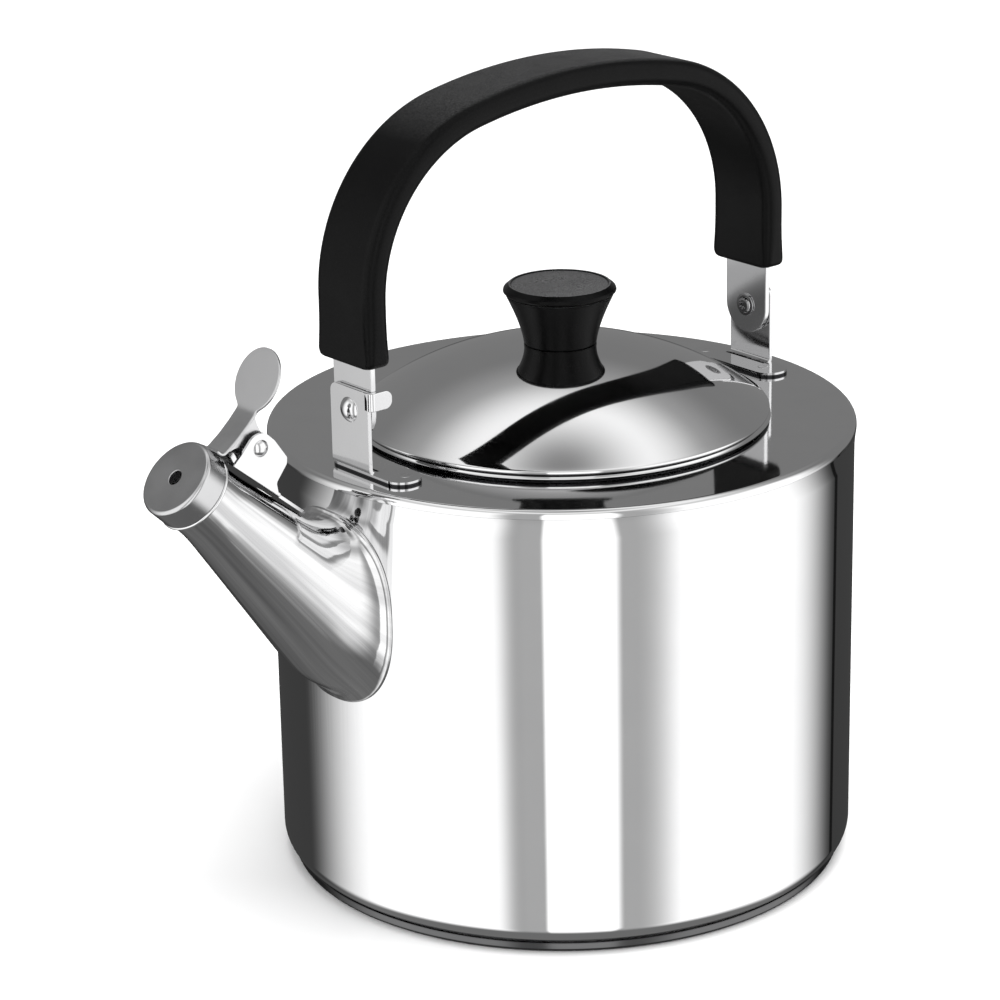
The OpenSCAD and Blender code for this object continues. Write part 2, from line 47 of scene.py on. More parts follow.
# ------------------------------------------------------------------ sizes, as in the CAD
BODY_R = 100.0
BODY_H = 156.1
SHEET = 0.8
BASE_R = 96.6
BASE_H = 3.2
POT_Z = 3.25
CORNER_R = 6.5
RIM_Z = 153.3
RIM_OUT = 0.6
PLATE_EDGE_R = 2.4
HOLE_R = 67.4
BEAD_R = 1.6
BEAD_X = HOLE_R + BEAD_R
LID_EDGE_R = 0.75
LID_EDGE_X = 70.35
LID_EDGE_Z = 158.5
LID_RISE = 23.0
LID_SHEET = 0.7
LID_TOP = LID_EDGE_Z + LID_EDGE_R + LID_RISE
DOME_R = (LID_EDGE_X**2 + LID_RISE**2) / (2 * LID_RISE)
SEAT_R = 12.0
KNOB_H = 20.6
KNOB_R = 19.3
KNOB_LOW_R = 12.4
SEAM_DROP = 3.6
PIVOT_Z = 177.3
GRIP_T = 9.2
GRIP_W = 28.8
GRIP_EDGE_R = 3.9
GRIP_OUT = 92.5
GRIP_END_Z = 193.3
GRIP_TOP_Z = 278.5
CROWN_R = 209.0
CORNER_OUT_R = 60.8
STRAP_T = 2.0
STRAP_W = 20.0
STRAP_X = GRIP_OUT - GRIP_T / 2
EAR_IN = 89.05
EAR_T = 1.5
EAR_OUT = EAR_IN + EAR_T
EAR_TOP_Z = 184.9
FOOT_Z = 156.15
FOOT_IN = 77.75
MOUTH_TILT = 44.0
MOUTH_R = 12.4
SPOUT_T = 0.9
FACE_X = -159.4
FACE_Z = 170.2
CAP_R = 13.4
CAP_L = 8.7
RING_L = 1.3
STEAM_R = 2.5
PIN_X = -131.3
PIN_Z = 175.1
EAR_HALF = 7.4
PLATE_T = 1.0
ROOT_Z = 112.0
POUR_R = 20.0
GAP = 0.05  # between pieces that lie together
PIN_R = 1.5
RIVET_R = 2.5
WASHER_T = 0.6
WASHER_GAP = 0.1
SCREW_HOLE_R = 2.7
INSERT_BORE_R = 4.02
COLLAR_DROP = 9
COLLAR_T = 0.7
X_AXIS = Vector((1, 0, 0))
Y_AXIS = Vector((0, 1, 0))
Z_AXIS = Vector((0, 0, 1))


# ------------------------------------------------------------------ material nodes
class Graph:
    """Short calls that add nodes to one node tree."""

    def __init__(self, tree):
        self.tree = tree
        self.tree.nodes.clear()

    def add(self, kind, links=(), **settings):
        node = self.tree.nodes.new(kind)
        for key, value in settings.items():
            setattr(node, key, value)
        for socket, value in dict(links).items():
            self.put(node, socket, value)
        return node

    def put(self, node, socket, value):
        if isinstance(value, bpy.types.NodeSocket):
            self.tree.links.new(value, node.inputs[socket])
        else:
            node.inputs[socket].default_value = value

    def math(self, operation, a, b=0.0):
        return self.add("ShaderNodeMath", {0: a, 1: b}, operation=operation).outputs[0]

    def remap(self, value, low, high, to_low, to_high, smooth=False):
        kind = "SMOOTHSTEP" if smooth else "LINEAR"
        links = {0: value, 1: low, 2: high, 3: to_low, 4: to_high}
        return self.add("ShaderNodeMapRange", links, interpolation_type=kind).outputs[0]

    def noise(self, vector, scale, detail=2.0, roughness=0.5):
        links = {"Vector": vector, "Scale": scale, "Detail": detail, "Roughness": roughness}
        return self.add("ShaderNodeTexNoise", links).outputs["Fac"]

    def stretched(self, vector, scale):
        return self.add("ShaderNodeMapping", {"Vector": vector, "Scale": scale}).outputs[0]

    def bump(self, height, strength, distance, normal=None):
        links = {"Height": height, "Strength": strength, "Distance": distance}
        if normal is not None:
            links["Normal"] = normal
        return self.add("ShaderNodeBump", links).outputs[0]

    def split(self, vector):
        return self.add("ShaderNodeSeparateXYZ", {0: vector}).outputs[:3]

    def facing(self):
        """Direction that a face is turned to, in its piece's own axes."""
        return self.split(self.add("ShaderNodeTexCoord").outputs["Normal"])

    def blend(self, factor, low, high):
        """Colour between two, each a socket or three numbers."""
        node = self.add("ShaderNodeMix", {0: factor}, data_type="RGBA")
        for socket, colour in ((6, low), (7, high)):
            self.put(node, socket, (*colour, 1.0) if isinstance(colour, tuple) else colour)
        return node.outputs[2]


def new_material(name):
    material = bpy.data.materials.new(name)
    material.use_nodes = True
    graph = Graph(material.node_tree)
    place = graph.add("ShaderNodeTexCoord").outputs["Object"]
    return material, graph, place


def close_material(graph, links):
    shader = graph.add("ShaderNodeBsdfPrincipled", links)
    out = graph.add("ShaderNodeOutputMaterial")
    graph.tree.links.new(shader.outputs[0], out.inputs[0])


def ring_distance(graph, place):
    """Distance from the kettle's upright axis."""
    flat = graph.stretched(place, (1.0, 1.0, 0.0))
    return graph.add("ShaderNodeVectorMath", {0: flat}, operation="LENGTH").outputs["Value"]


DENT_SCALE = 14.0
DENT_DEPTH = 0.0006
GRAIN_DEPTH = 0.00003
# Edge softness and colour of the painted band of shade under an edge.
SHADE_BAND_SOFTNESS = 0.0001
SHADE_BAND_COLOUR = (0.03, 0.03, 0.032)


def mirror_steel(name, low, high, rough, wave, spun=0.0, grain=0.0, shade_band=None, inside=None):
    """Polished steel: faint buffing haze, slow dents, and spun lines where the sheet was turned.
    A band between two heights, in metres, can be painted dark: painted shade and painted dark
    reflection along the shadow line under an edge. The faces turned towards the plane x = 0 can
    be painted a grey of their own, painted shade on faces turned to the kettle's inside."""
    material, graph, place = new_material(name)
    haze = graph.noise(place, 55.0, 4.0, 0.6)
    normal = graph.bump(graph.noise(place, DENT_SCALE, 1.0), wave, DENT_DEPTH)
    if spun:
        links = {"W": ring_distance(graph, place), "Scale": 1400.0, "Detail": 3.0}
        lines = graph.add("ShaderNodeTexNoise", links, noise_dimensions="1D").outputs["Fac"]
        normal = graph.bump(lines, spun, 0.00004, normal)
    if grain:
        normal = graph.bump(graph.noise(place, 3200.0, 2.0), grain, GRAIN_DEPTH, normal)
    colour = graph.blend(haze, low, high)
    # Painted shade: faces turned towards x = 0 are painted a darker grey.
    if inside is not None:
        side = graph.math("SIGN", graph.split(place)[0])
        inward = graph.math("MULTIPLY", side, graph.facing()[0])
        colour = graph.blend(graph.remap(inward, -0.6, -0.3, 1.0, 0.0), colour,
                             (inside, inside, inside * 1.01))
    # Painted shade: a dark band between two heights, for the shadow and dark reflection under an
    # edge.
    if shade_band is not None:
        height = graph.split(place)[2]
        over, under = (graph.remap(height, z - SHADE_BAND_SOFTNESS, z + SHADE_BAND_SOFTNESS, first, 1 - first)
                       for z, first in zip(shade_band, (0.0, 1.0)))
        colour = graph.blend(graph.math("MULTIPLY", over, under), colour, SHADE_BAND_COLOUR)
    close_material(graph, {
        "Base Color": colour,
        "Metallic": 1.0,
        "Roughness": graph.remap(haze, 0.3, 0.7, *rough),
        "Normal": normal,
    })
    return material


def satin_steel(name, low, high, rough, along, grain):
    """Steel with a fine brushed grain that runs along one axis."""
    material, graph, place = new_material(name)
    streaks = graph.noise(graph.stretched(place, along), 1.0, 3.0, 0.6)
    cloud = graph.noise(place, 180.0, 3.0)
    close_material(graph, {
        "Base Color": graph.blend(streaks, low, high),
        "Metallic": 1.0,
        "Roughness": graph.remap(cloud, 0.3, 0.7, *rough),
        "Normal": graph.bump(streaks, grain, GRAIN_DEPTH),
    })
    return material


def drawn_steel(name, low, high, rough, tilt, axis_height):
    """Polished steel drawn along one line in the XZ plane, with streaks that run down its length.
    Broad bands round the line, mixed into its colour, are painted reflection.
    The line leaves the X axis at a tilt, in radians, and passes at a height, in metres."""
    material, graph, place = new_material(name)
    turned_to = graph.add("ShaderNodeVectorRotate", {"Vector": place, "Angle": tilt},
                          rotation_type="Y_AXIS").outputs[0]
    along, across, up = graph.split(turned_to)
    angle = graph.math("ARCTAN2", across, graph.math("SUBTRACT", up, axis_height))

    def lengthwise(along_scale, angle_scale, detail):
        place_on = graph.add("ShaderNodeCombineXYZ", {
            0: graph.math("MULTIPLY", along, along_scale),
            1: graph.math("MULTIPLY", angle, angle_scale)}).outputs[0]
        return graph.noise(place_on, 1.0, detail, 0.6)

    # The broad bands are painted reflection; the streaks and fine lines are the drawing's own
    # marks.
    reflection_bands = lengthwise(6.0, 2.6, 2.0)
    streaks = lengthwise(16.0, 22.0, 4.0)
    fine = lengthwise(40.0, 90.0, 2.0)
    tone = graph.math("ADD", graph.remap(reflection_bands, 0.35, 0.65, 0.05, 0.85),
                      graph.remap(streaks, 0.3, 0.7, -0.05, 0.2))
    normal = graph.bump(graph.noise(place, DENT_SCALE, 1.0), 0.04, DENT_DEPTH)
    normal = graph.bump(reflection_bands, 0.25, 0.0012, normal)
    normal = graph.bump(streaks, 0.06, 0.00012, normal)
    normal = graph.bump(fine, 0.02, GRAIN_DEPTH, normal)
    close_material(graph, {
        "Base Color": graph.blend(tone, low, high),
        "Metallic": 1.0,
        "Roughness": graph.remap(streaks, 0.3, 0.7, *rough),
        "Normal": normal,
    })
    return material


# Colours of the painted sheen on faces turned up.
TOP_SHEEN_COLOURS = ((0.012, 0.012, 0.0125), (0.17, 0.17, 0.172))


def phenolic(name, low, high, rough, grain, shine, top_sheen):
    """Black moulded plastic with a fine sparked grain and paler specks, and a painted grey sheen
    on faces turned up, as light from above would give.
    """
    material, graph, place = new_material(name)
    fine = graph.noise(place, 2100.0, 3.0, 0.65)
    cloud = graph.noise(place, 90.0, 3.0)
    normal = graph.bump(fine, grain, 0.00012)
    normal = graph.bump(graph.noise(place, 60.0, 1.0), 0.05, DENT_DEPTH, normal)
    # Painted sheen: faces turned up are painted greyer, as light from above would make them.
    upward = graph.remap(graph.facing()[2], 0.8, 0.99, 0.0, top_sheen)
    black = graph.blend(graph.remap(fine, 0.45, 0.75, 0.0, 1.0), low, high)
    top_sheened = graph.blend(graph.remap(fine, 0.35, 0.7, 0.0, 1.0), *TOP_SHEEN_COLOURS)
    close_material(graph, {
        "Base Color": graph.blend(upward, black, top_sheened),
        "Roughness": graph.remap(cloud, 0.3, 0.7, *rough),
        "Specular IOR Level": shine,
        "Normal": normal,
    })
    return material


def wire_black(name):
    material, graph, place = new_material(name)
    oil = graph.noise(place, 900.0, 3.0)
    close_material(graph, {
        "Base Color": graph.blend(oil, (0.010, 0.010, 0.011), (0.035, 0.035, 0.038)),
        "Roughness": graph.remap(oil, 0.3, 0.7, 0.24, 0.42),
        "Specular IOR Level": 0.7,
        "Normal": graph.bump(oil, 0.12, 0.00005),
    })
    return material


def steel(level, blue=0.005):
    """Colour of a steel, very slightly blue."""
    return level, level, level + blue


PRESSED = (steel(0.70), steel(0.78), (0.08, 0.14), 0.06, 0.0, 0.04)
BLACKS = ((0.001, 0.001, 0.00105), (0.004, 0.004, 0.0042))
# Greys painted on faces turned towards x = 0: painted shade on the inner faces of brackets, strap,
# rivets and washers.
INNER_SHADE_GREY = 0.42
RIVET_INNER_SHADE_GREY = 0.14

MATERIALS = {
    "polished_steel": mirror_steel("polished_steel", steel(0.76), steel(0.81, 0.002),
                                   (0.025, 0.05), 0.035),
    # The base disc's colour is painted shade: far darker than steel, for the band round the
    # kettle's foot.
    "base_steel": mirror_steel("base_steel", steel(0.10, 0.002), steel(0.15, 0.002),
                               (0.12, 0.2), 0.02, spun=0.25),
    "pressed_steel": mirror_steel("pressed_steel", *PRESSED),
    "whistle_steel": satin_steel("whistle_steel", steel(0.58), steel(0.63), (0.22, 0.27),
                                 (500.0, 2600.0, 500.0), 0.03),
    "spreader_aluminium": satin_steel("spreader_aluminium", (0.72, 0.73, 0.74), (0.82, 0.83, 0.84),
                                      (0.35, 0.5), (300.0, 1800.0, 300.0), 0.2),
    "insert_brass": satin_steel("insert_brass", (0.66, 0.45, 0.17), (0.80, 0.58, 0.27),
                                (0.2, 0.3), (300.0, 300.0, 2400.0), 0.15),
    "spring_steel": wire_black("spring_steel"),
    # The last number sets how strong the painted top sheen is.
    "grip_plastic": phenolic("grip_plastic", *BLACKS, (0.28, 0.38), 0.45, 0.10, 0.25),
    "knob_plastic": phenolic("knob_plastic", *BLACKS, (0.25, 0.34), 0.45, 0.10, 1.0),
}
# Steels that differ from their slot's own on some pieces.
PLATE_STEEL = mirror_steel("plate_steel", steel(0.74), steel(0.80, 0.002), (0.03, 0.06), 0.02,
                           spun=0.06)
# The lid and its collar carry a painted band of shade under the lid's rolled edge, at the gap to
# the top plate's bead.
LID_STEEL = mirror_steel("lid_steel", steel(0.76), steel(0.81, 0.002), (0.035, 0.065), 0.035,
                         shade_band=((LID_EDGE_Z - 0.9) * MM, (LID_EDGE_Z - 0.22) * MM))
# The bracket feet carry a painted dark band along their edges, painted shade and dark reflection,
# and painted shade on faces turned towards x = 0.
FOOT_STEEL = mirror_steel("foot_steel", *PRESSED, inside=INNER_SHADE_GREY,
                          shade_band=((FOOT_Z - 1) * MM, (FOOT_Z + 0.75) * MM))
# The strap, rivets and washers carry painted shade on their faces turned towards x = 0.
STRAP_STEEL = mirror_steel("strap_steel", *PRESSED, inside=INNER_SHADE_GREY)
RIVET_STEEL = mirror_steel("rivet_steel", *PRESSED, inside=RIVET_INNER_SHADE_GREY)
CAP_FACE_STEEL = mirror_steel("cap_face_steel", steel(0.50), steel(0.62), (0.16, 0.24), 0.02,
                              grain=0.1)


# ------------------------------------------------------------------ mesh tools
def piece(bm, name, body, slot, nodes=(), sharp=32.0, at=None, material=None):
    """Makes a bmesh, drawn in millimetres, into a piece that rides a body and stands for nodes."""
    bmesh.ops.remove_doubles(bm, verts=bm.verts, dist=1e-5)
    bmesh.ops.recalc_face_normals(bm, faces=bm.faces)
    if at is not None:
        bm.transform(at)
    bm.transform(Matrix.Scale(MM, 4))
    mesh = bpy.data.meshes.new(name)
    bm.to_mesh(mesh)
    bm.free()
    mesh.polygons.foreach_set("use_smooth", [True] * len(mesh.polygons))
    mesh.set_sharp_from_angle(angle=math.radians(sharp))
    obj = bpy.data.objects.new(name, mesh)
    scene.collection.objects.link(obj)
    mesh.materials.append(material or MATERIALS[slot])
    flat = obj.modifiers.new("flat_faces", "WEIGHTED_NORMAL")
    flat.keep_sharp = True
    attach(obj, body)
    if nodes:
        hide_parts(*nodes)
    return obj


def joined(*parts):
    """One bmesh from several."""
    whole = bmesh.new()
    for part in parts:
        mesh = bpy.data.meshes.new("part")
        part.to_mesh(mesh)
        part.free()
        whole.from_mesh(mesh)
        bpy.data.meshes.remove(mesh)
    return whole


def cut(bm, *cutters):
    """A bmesh with others taken away from it."""
    objects = []
    for part in (bm, *cutters):
        bmesh.ops.recalc_face_normals(part, faces=part.faces)
        mesh = bpy.data.meshes.new("cut")
        part.to_mesh(mesh)
        part.free()
        obj = bpy.data.objects.new("cut", mesh)
        scene.collection.objects.link(obj)
        objects.append(obj)
    main = objects[0]
    for cutter in objects[1:]:
        modifier = main.modifiers.new("cut", "BOOLEAN")
        modifier.operation = "DIFFERENCE"
        modifier.solver = "EXACT"
        modifier.object = cutter
    depsgraph = bpy.context.evaluated_depsgraph_get()
    result = bmesh.new()
    result.from_object(main, depsgraph)
    for obj in objects:
        mesh = obj.data
        bpy.data.objects.remove(obj)
        bpy.data.meshes.remove(mesh)
    return result


def rounded(corners, steps=6):
    """Closed outline of (x, y, radius) corners as a list of points."""
    out = []
    for i, corner in enumerate(corners):
        here = Vector(corner[:2])
        radius = corner[2]
        to_last = Vector(corners[i - 1][:2]) - here
        to_next = Vector(corners[(i + 1) % len(corners)][:2]) - here
        if radius <= 0 or to_last.length < 1e-6 or to_next.length < 1e-6:
            out.append(here)
            continue
        half = to_last.angle(to_next) / 2
        if half > 1.565:
            out.append(here)
            continue
        reach = min(radius / math.tan(half), to_last.length * 0.499, to_next.length * 0.499)
        radius = reach * math.tan(half)
        to_last.normalize()
        to_next.normalize()
        middle = here + (to_last + to_next).normalized() * (radius / math.sin(half))
        first = here + to_last * reach - middle
        last = here + to_next * reach - middle
        angle = first.angle(last)
        for k in range(steps + 1):
            t = k / steps
            a = math.sin((1 - t) * angle) / math.sin(angle)
            b = math.sin(t * angle) / math.sin(angle)
            out.append(middle + first * a + last * b)
    return out


def points(*pairs):
    return [Vector(pair) for pair in pairs]


def sweep(start, end, steps):
    """Angles in radians from one angle to another, which are given in degrees."""
    return [math.radians(start + (end - start) * i / steps) for i in range(steps + 1)]


def arc(x, y, radius, start, end, steps):
    """Points of an arc, with angles in degrees."""
    return [Vector((x + radius * math.cos(a), y + radius * math.sin(a)))
            for a in sweep(start, end, steps)]


def upright(a):
    """Direction at an angle in the XZ plane."""
    return Vector((math.cos(a), 0, math.sin(a)))


def lathe(outline, steps=192):
    """Turns a closed outline of (r, z) points round Z."""
    bm = bmesh.new()
    rings = []
    for r, z in outline:
        if r < 1e-6:
            rings.append([bm.verts.new((0, 0, z))] * steps)
        else:
            rings.append([bm.verts.new((r * math.cos(TAU * i / steps),
                                        r * math.sin(TAU * i / steps), z))
                          for i in range(steps)])
    for ring, following in zip(rings, rings[1:] + rings[:1]):
        for i in range(steps):
            j = (i + 1) % steps
            corners = [ring[i], ring[j], following[j], following[i]]
            corners = [c for k, c in enumerate(corners) if c not in corners[:k]]
            if len(corners) > 2:
                bm.faces.new(corners)
    return bm


def loft(rings, closed=False):
    """Skin through rings of points, with flat ends, or closed on itself."""
    bm = bmesh.new()
    rows = [[bm.verts.new(p) for p in ring] for ring in rings]
    pairs = list(zip(rows, rows[1:]))
    if closed:
        pairs.append((rows[-1], rows[0]))
    for a, b in pairs:
        for i in range(len(a)):
            j = (i + 1) % len(a)
            bm.faces.new((a[i], a[j], b[j], b[i]))
    if not closed:
        bm.faces.new(rows[0][::-1])
        bm.faces.new(rows[-1])
    return bm


def plate(outline, thickness, bevel):
    """Flat plate on z = 0 with softened edges."""
    bm = bmesh.new()
    low = [bm.verts.new((p[0], p[1], 0)) for p in outline]
    high = [bm.verts.new((p[0], p[1], thickness)) for p in outline]
    bm.faces.new(low[::-1])
    bm.faces.new(high)
    for i in range(len(outline)):
        j = (i + 1) % len(outline)
        bm.faces.new((low[i], low[j], high[j], high[i]))
    if bevel:
        edges = [e for e in bm.edges if abs(e.verts[0].co.z - e.verts[1].co.z) < 1e-6]
        bmesh.ops.bevel(bm, geom=edges, offset=bevel, segments=3, profile=0.5,
                        affect="EDGES", clamp_overlap=True)
    return bm


def section(station, thickness, edge, inset=0.0, steps=4):
    """Rounded rectangle round a station (point, out, side, half_width)."""
    point, out, side, half = station
    h = thickness / 2 - inset
    w = max(half - inset, 0.02)
    e = max(min(edge, h, w) - inset, 0.01)
    ring = []
    for q, (sx, sy) in enumerate(((1, 1), (-1, 1), (-1, -1), (1, -1))):
        for i in range(steps + 1):
            a = math.radians(90 * q + 90 * i / steps)
            u = sx * (h - e) + e * math.cos(a)
            v = sy * (w - e) + e * math.sin(a)
            ring.append(point + out * u + side * v)
    return ring


def ribbon(stations, thickness, edge):
    """Bent sheet through stations, with soft edges all round."""

    def end_rings(station, last):
        """Rings that draw in to an end station, from the inside out."""
        point, out, side, half = station
        along = (point - last[0]).normalized()
        return [section((point + along * edge * (math.sin(a) - 1), out, side, half), thickness,
                        edge, edge * (1 - math.cos(a))) for a in sweep(0, 90, 3)[1:]]

    middle = [section(station, thickness, edge) for station in stations[1:-1]]
    return loft(end_rings(stations[0], stations[1])[::-1] + middle
                + end_rings(stations[-1], stations[-2]))


def tube(path, radius, sides):
    """Round wire along a path, with flat ends."""
    rings = []
    side = Vector((0.13, 1.0, 0.07))
    for i, point in enumerate(path):
        along = (path[min(i + 1, len(path) - 1)] - path[max(i - 1, 0)]).normalized()
        across = along.cross(side).normalized()
        up = across.cross(along)
        rings.append([point + across * radius * math.cos(TAU * k / sides)
                      + up * radius * math.sin(TAU * k / sides) for k in range(sides)])
    return loft(rings)


def turned(x, z, angle):
    """Matrix that stands a lathe's +Z along +X at a point over the X axis, turned round Z."""
    return (Matrix.Rotation(math.radians(angle), 4, "Z") @ Matrix.Translation((x, 0, z))
            @ Matrix.Rotation(math.radians(90), 4, "Y"))


def dome_profile(radius, height, steps=8):
    """Half outline of a sphere's cap standing on z = 0."""
    ball = (radius**2 + height**2) / (2 * height)
    top = math.asin(radius / ball)
    return [Vector((ball * math.sin(top * (1 - i / steps)),
                    height - ball + ball * math.cos(top * (1 - i / steps))))
            for i in range(steps + 1)]


# ------------------------------------------------------------------ pot
def make_pot():
    flare = [Vector((BODY_R + RIM_OUT * (i / 8) ** 1.8, RIM_Z - 7 + 6.95 * i / 8))
             for i in range(9)]
    centre = BODY_R - CORNER_R
    floor_z = POT_Z + CORNER_R
    flat_r = 60
    outer = points((0, POT_Z), (flat_r, POT_Z))
    outer += arc(centre, floor_z, CORNER_R, -90, 0, 14) + flare
    inner = [p - Vector((SHEET, 0)) for p in reversed(flare)]
    inner += arc(centre, floor_z, CORNER_R - SHEET, 0, -90, 14)
    inner += points((flat_r, POT_Z + SHEET), (0, POT_Z + SHEET))
    wall = lathe(outer + inner, 288)
    drill = lathe(points((0, 0), (POUR_R, 0), (POUR_R, 20), (0, 20)), 96)
    drill.transform(turned(BODY_R - 15, ROOT_Z, 180.0))
    piece(cut(wall, drill), "pot_wall", "kettle", "polished_steel", ["body_wall"])

    edge = 1.4
    skin = 0.6
    outline = points((0, 0)) + arc(BASE_R - edge, edge, edge, -90, 0, 6)
    outline += points((BASE_R, BASE_H - 0.2), (BASE_R - 0.2, BASE_H), (BASE_R - skin, BASE_H))
    outline += arc(BASE_R - edge, edge, edge - skin, 0, -90, 6) + points((0, skin))
    piece(lathe(outline, 288), "base_disc_turned", "kettle", "base_steel", ["base_disc"])

    rim_r = BODY_R + RIM_OUT
    rim_arc = (rim_r - PLATE_EDGE_R, BODY_H - PLATE_EDGE_R)
    bead_out = BEAD_X + BEAD_R
    hole_z = BODY_H - 6.6
    outline = points((rim_r, RIM_Z)) + arc(*rim_arc, PLATE_EDGE_R, 0, 90, 12)
    outline += points((bead_out + 0.9, BODY_H), (bead_out + 0.4, BODY_H + 0.08),
                      (bead_out + 0.12, BODY_H + 0.3))
    outline += arc(BEAD_X, BODY_H, BEAD_R, 20, 180, 14)
    outline += points((HOLE_R, hole_z), (HOLE_R + SHEET, hole_z))
    outline += arc(BEAD_X, BODY_H, BEAD_R - SHEET, 180, 0, 8)
    outline += points((bead_out - SHEET, BODY_H - SHEET))
    outline += arc(*rim_arc, PLATE_EDGE_R - SHEET, 90, 0, 8) + points((rim_r - SHEET, RIM_Z))
    piece(lathe(outline, 288), "top_plate_spun", "kettle", "polished_steel", ["top_plate"],
          material=PLATE_STEEL)


# ------------------------------------------------------------------ spout
AXIS = Vector((math.cos(math.radians(MOUTH_TILT)), -math.sin(math.radians(MOUTH_TILT))))
ACROSS = Vector((-AXIS.y, AXIS.x))
FACE = Vector((FACE_X, FACE_Z))
SPOUT_S = CAP_L + GAP + RING_L
NECK_L = 9.0


def on_axis(s, v):
    """Point of the middle plane, s behind the cap's face and v up across the mouth's axis."""
    return FACE + AXIS * s + ACROSS * v


def at_mouth(s):
    """Matrix that puts +Z on the mouth's axis, pointing out of the spout."""
    p = on_axis(s, 0)
    return (Matrix.Translation((p.x, 0, p.y))
            @ Matrix.Rotation(math.radians(MOUTH_TILT - 90), 4, "Y"))


def spow(v, e):
    """Power that keeps the sign, for rounded squares."""
    return math.copysign(abs(v) ** e, v)


def mix(a, b, u):
    return a + (b - a) * u


SIDES = 144
MOUTH_TOP = on_axis(SPOUT_S, MOUTH_R)
MOUTH_BOT = on_axis(SPOUT_S, -MOUTH_R)
NECK_TOP = on_axis(SPOUT_S + NECK_L, MOUTH_R + 0.3)
NECK_BOT = on_axis(SPOUT_S + NECK_L, -MOUTH_R - 0.3)
CONE_TOP = Vector((-113.9, 147.6))
CONE_BOT = Vector((-115.5, 93.4))
CONE_HALF_W = 20.4
FLANGE_HALF_W = 27.0
ROOT_HALF_H = 32.8
FLANGE_T = 0.8


def ring_between(top, bottom, half_w, e, t):
    centre = (top + bottom) / 2
    h = (top - bottom).length / 2
    d = (top - bottom).normalized()
    ring = []
    for i in range(SIDES):
        a = TAU * i / SIDES
        u = (h - t) * spow(math.cos(a), 2 / e)
        w = (half_w - t) * spow(math.sin(a), 2 / e)
        ring.append(Vector((centre.x + d.x * u, -w, centre.y + d.y * u)))
    return ring


def cone_ring(u, t):
    return ring_between(mix(NECK_TOP, CONE_TOP, u), mix(NECK_BOT, CONE_BOT, u),
                        mix(MOUTH_R + 0.3, CONE_HALF_W, u), mix(2.0, 2.2, u), t)


def root_ring(inset, off):
    ring = []
    for i in range(SIDES):
        a = TAU * i / SIDES
        y = -(FLANGE_HALF_W - inset) * spow(math.sin(a), 2 / 2.5)
        z = ROOT_Z + (ROOT_HALF_H - inset) * spow(math.cos(a), 2 / 2.5)
        r = BODY_R + off
        ring.append(Vector((-math.sqrt(r * r - y * y), y, z)))
    return ring


def flare_ring(u, t, inset, off):
    """Ring of the curve from the end of the cone to the flange, tangent to both."""
    ring = []
    rows = zip(cone_ring(1.0, t), cone_ring(0.7, t), root_ring(inset, off),
               root_ring(inset + 6, off + 0.5))
    for start, before, end, inside in rows:
        reach = (end - start).length * 0.45
        leave = start + (start - before).normalized() * reach
        arrive = (end + inside) / 2
        ring.append(start * (1 - u) ** 3 + leave * 3 * u * (1 - u) ** 2
                    + arrive * 3 * u * u * (1 - u) + end * u**3)
    return ring


def make_spout():
    mouth = (MOUTH_TOP + MOUTH_BOT) / 2
    root = (CONE_TOP + CONE_BOT) / 2
    tilt = math.atan2(root.y - mouth.y, root.x - mouth.x)
    axis_height = (root.y * math.cos(tilt) - root.x * math.sin(tilt)) * MM
    # The spout's colour runs from dark to light through its painted reflection bands.
    drawn = drawn_steel("spout_steel", steel(0.42), steel(0.84, 0.002), (0.04, 0.08), tilt,
                        axis_height)

    def side(t, inset, off):
        rings = []
        for k in range(6):
            a = ring_between(MOUTH_TOP, MOUTH_BOT, MOUTH_R, 2.0, t)
            b = cone_ring(0.0, t)
            rings.append([mix(p, q, k / 6) for p, q in zip(a, b)])
        rings += [cone_ring(k / 24, t) for k in range(24)]
        rings += [flare_ring(k / 16, t, inset, off) for k in range(16)]
        for _ in range(4):
            smooth = [rings[0], rings[1]]
            for a, b, c in zip(rings[1:], rings[2:], rings[3:]):
                smooth.append([(p + q * 2 + r) / 4 for p, q, r in zip(a, b, c)])
            smooth.append(rings[-1])
            rings = smooth
        return rings

    outer = side(0.0, 0.3, FLANGE_T)
    edge = [root_ring(0.3, FLANGE_T), root_ring(0.09, FLANGE_T - 0.09), root_ring(0.0, 0.5),
            root_ring(0.0, 0.1), root_ring(5.0, 0.1)]
    inner = side(SPOUT_T, 5.0, 0.1)[::-1]
    piece(loft(outer + edge + inner, closed=True), "spout_skin", "kettle", "polished_steel",
          ["spout"], sharp=40.0, material=drawn)

    w = RING_L - 0.1
    ring_in = MOUTH_R - SPOUT_T
    ring_out = ring_in + 1.6
    outline = points((ring_in, 0), (ring_out, 0))
    outline += arc(ring_out, w / 2, w / 2, -90, 90, 10)[1:] + points((ring_in, w))
    piece(lathe(outline, 128), "mouth_bead", "kettle", "polished_steel", ["mouth_ring"],
          at=at_mouth(SPOUT_S - GAP))


# ------------------------------------------------------------------ whistle bracket and spring
SLOPE = math.atan2(MOUTH_TOP.y - CONE_TOP.y, CONE_TOP.x - MOUTH_TOP.x)
ON_SPOUT = (Matrix.Translation((MOUTH_TOP.x, 0, MOUTH_TOP.y)) @ Matrix.Rotation(SLOPE, 4, "Y"))
PIN_U = (PIN_X - MOUTH_TOP.x) * math.cos(SLOPE) - (PIN_Z - MOUTH_TOP.y) * math.sin(SLOPE)
PIN_V = (PIN_X - MOUTH_TOP.x) * math.sin(SLOPE) + (PIN_Z - MOUTH_TOP.y) * math.cos(SLOPE)
WEB_V = 0.6


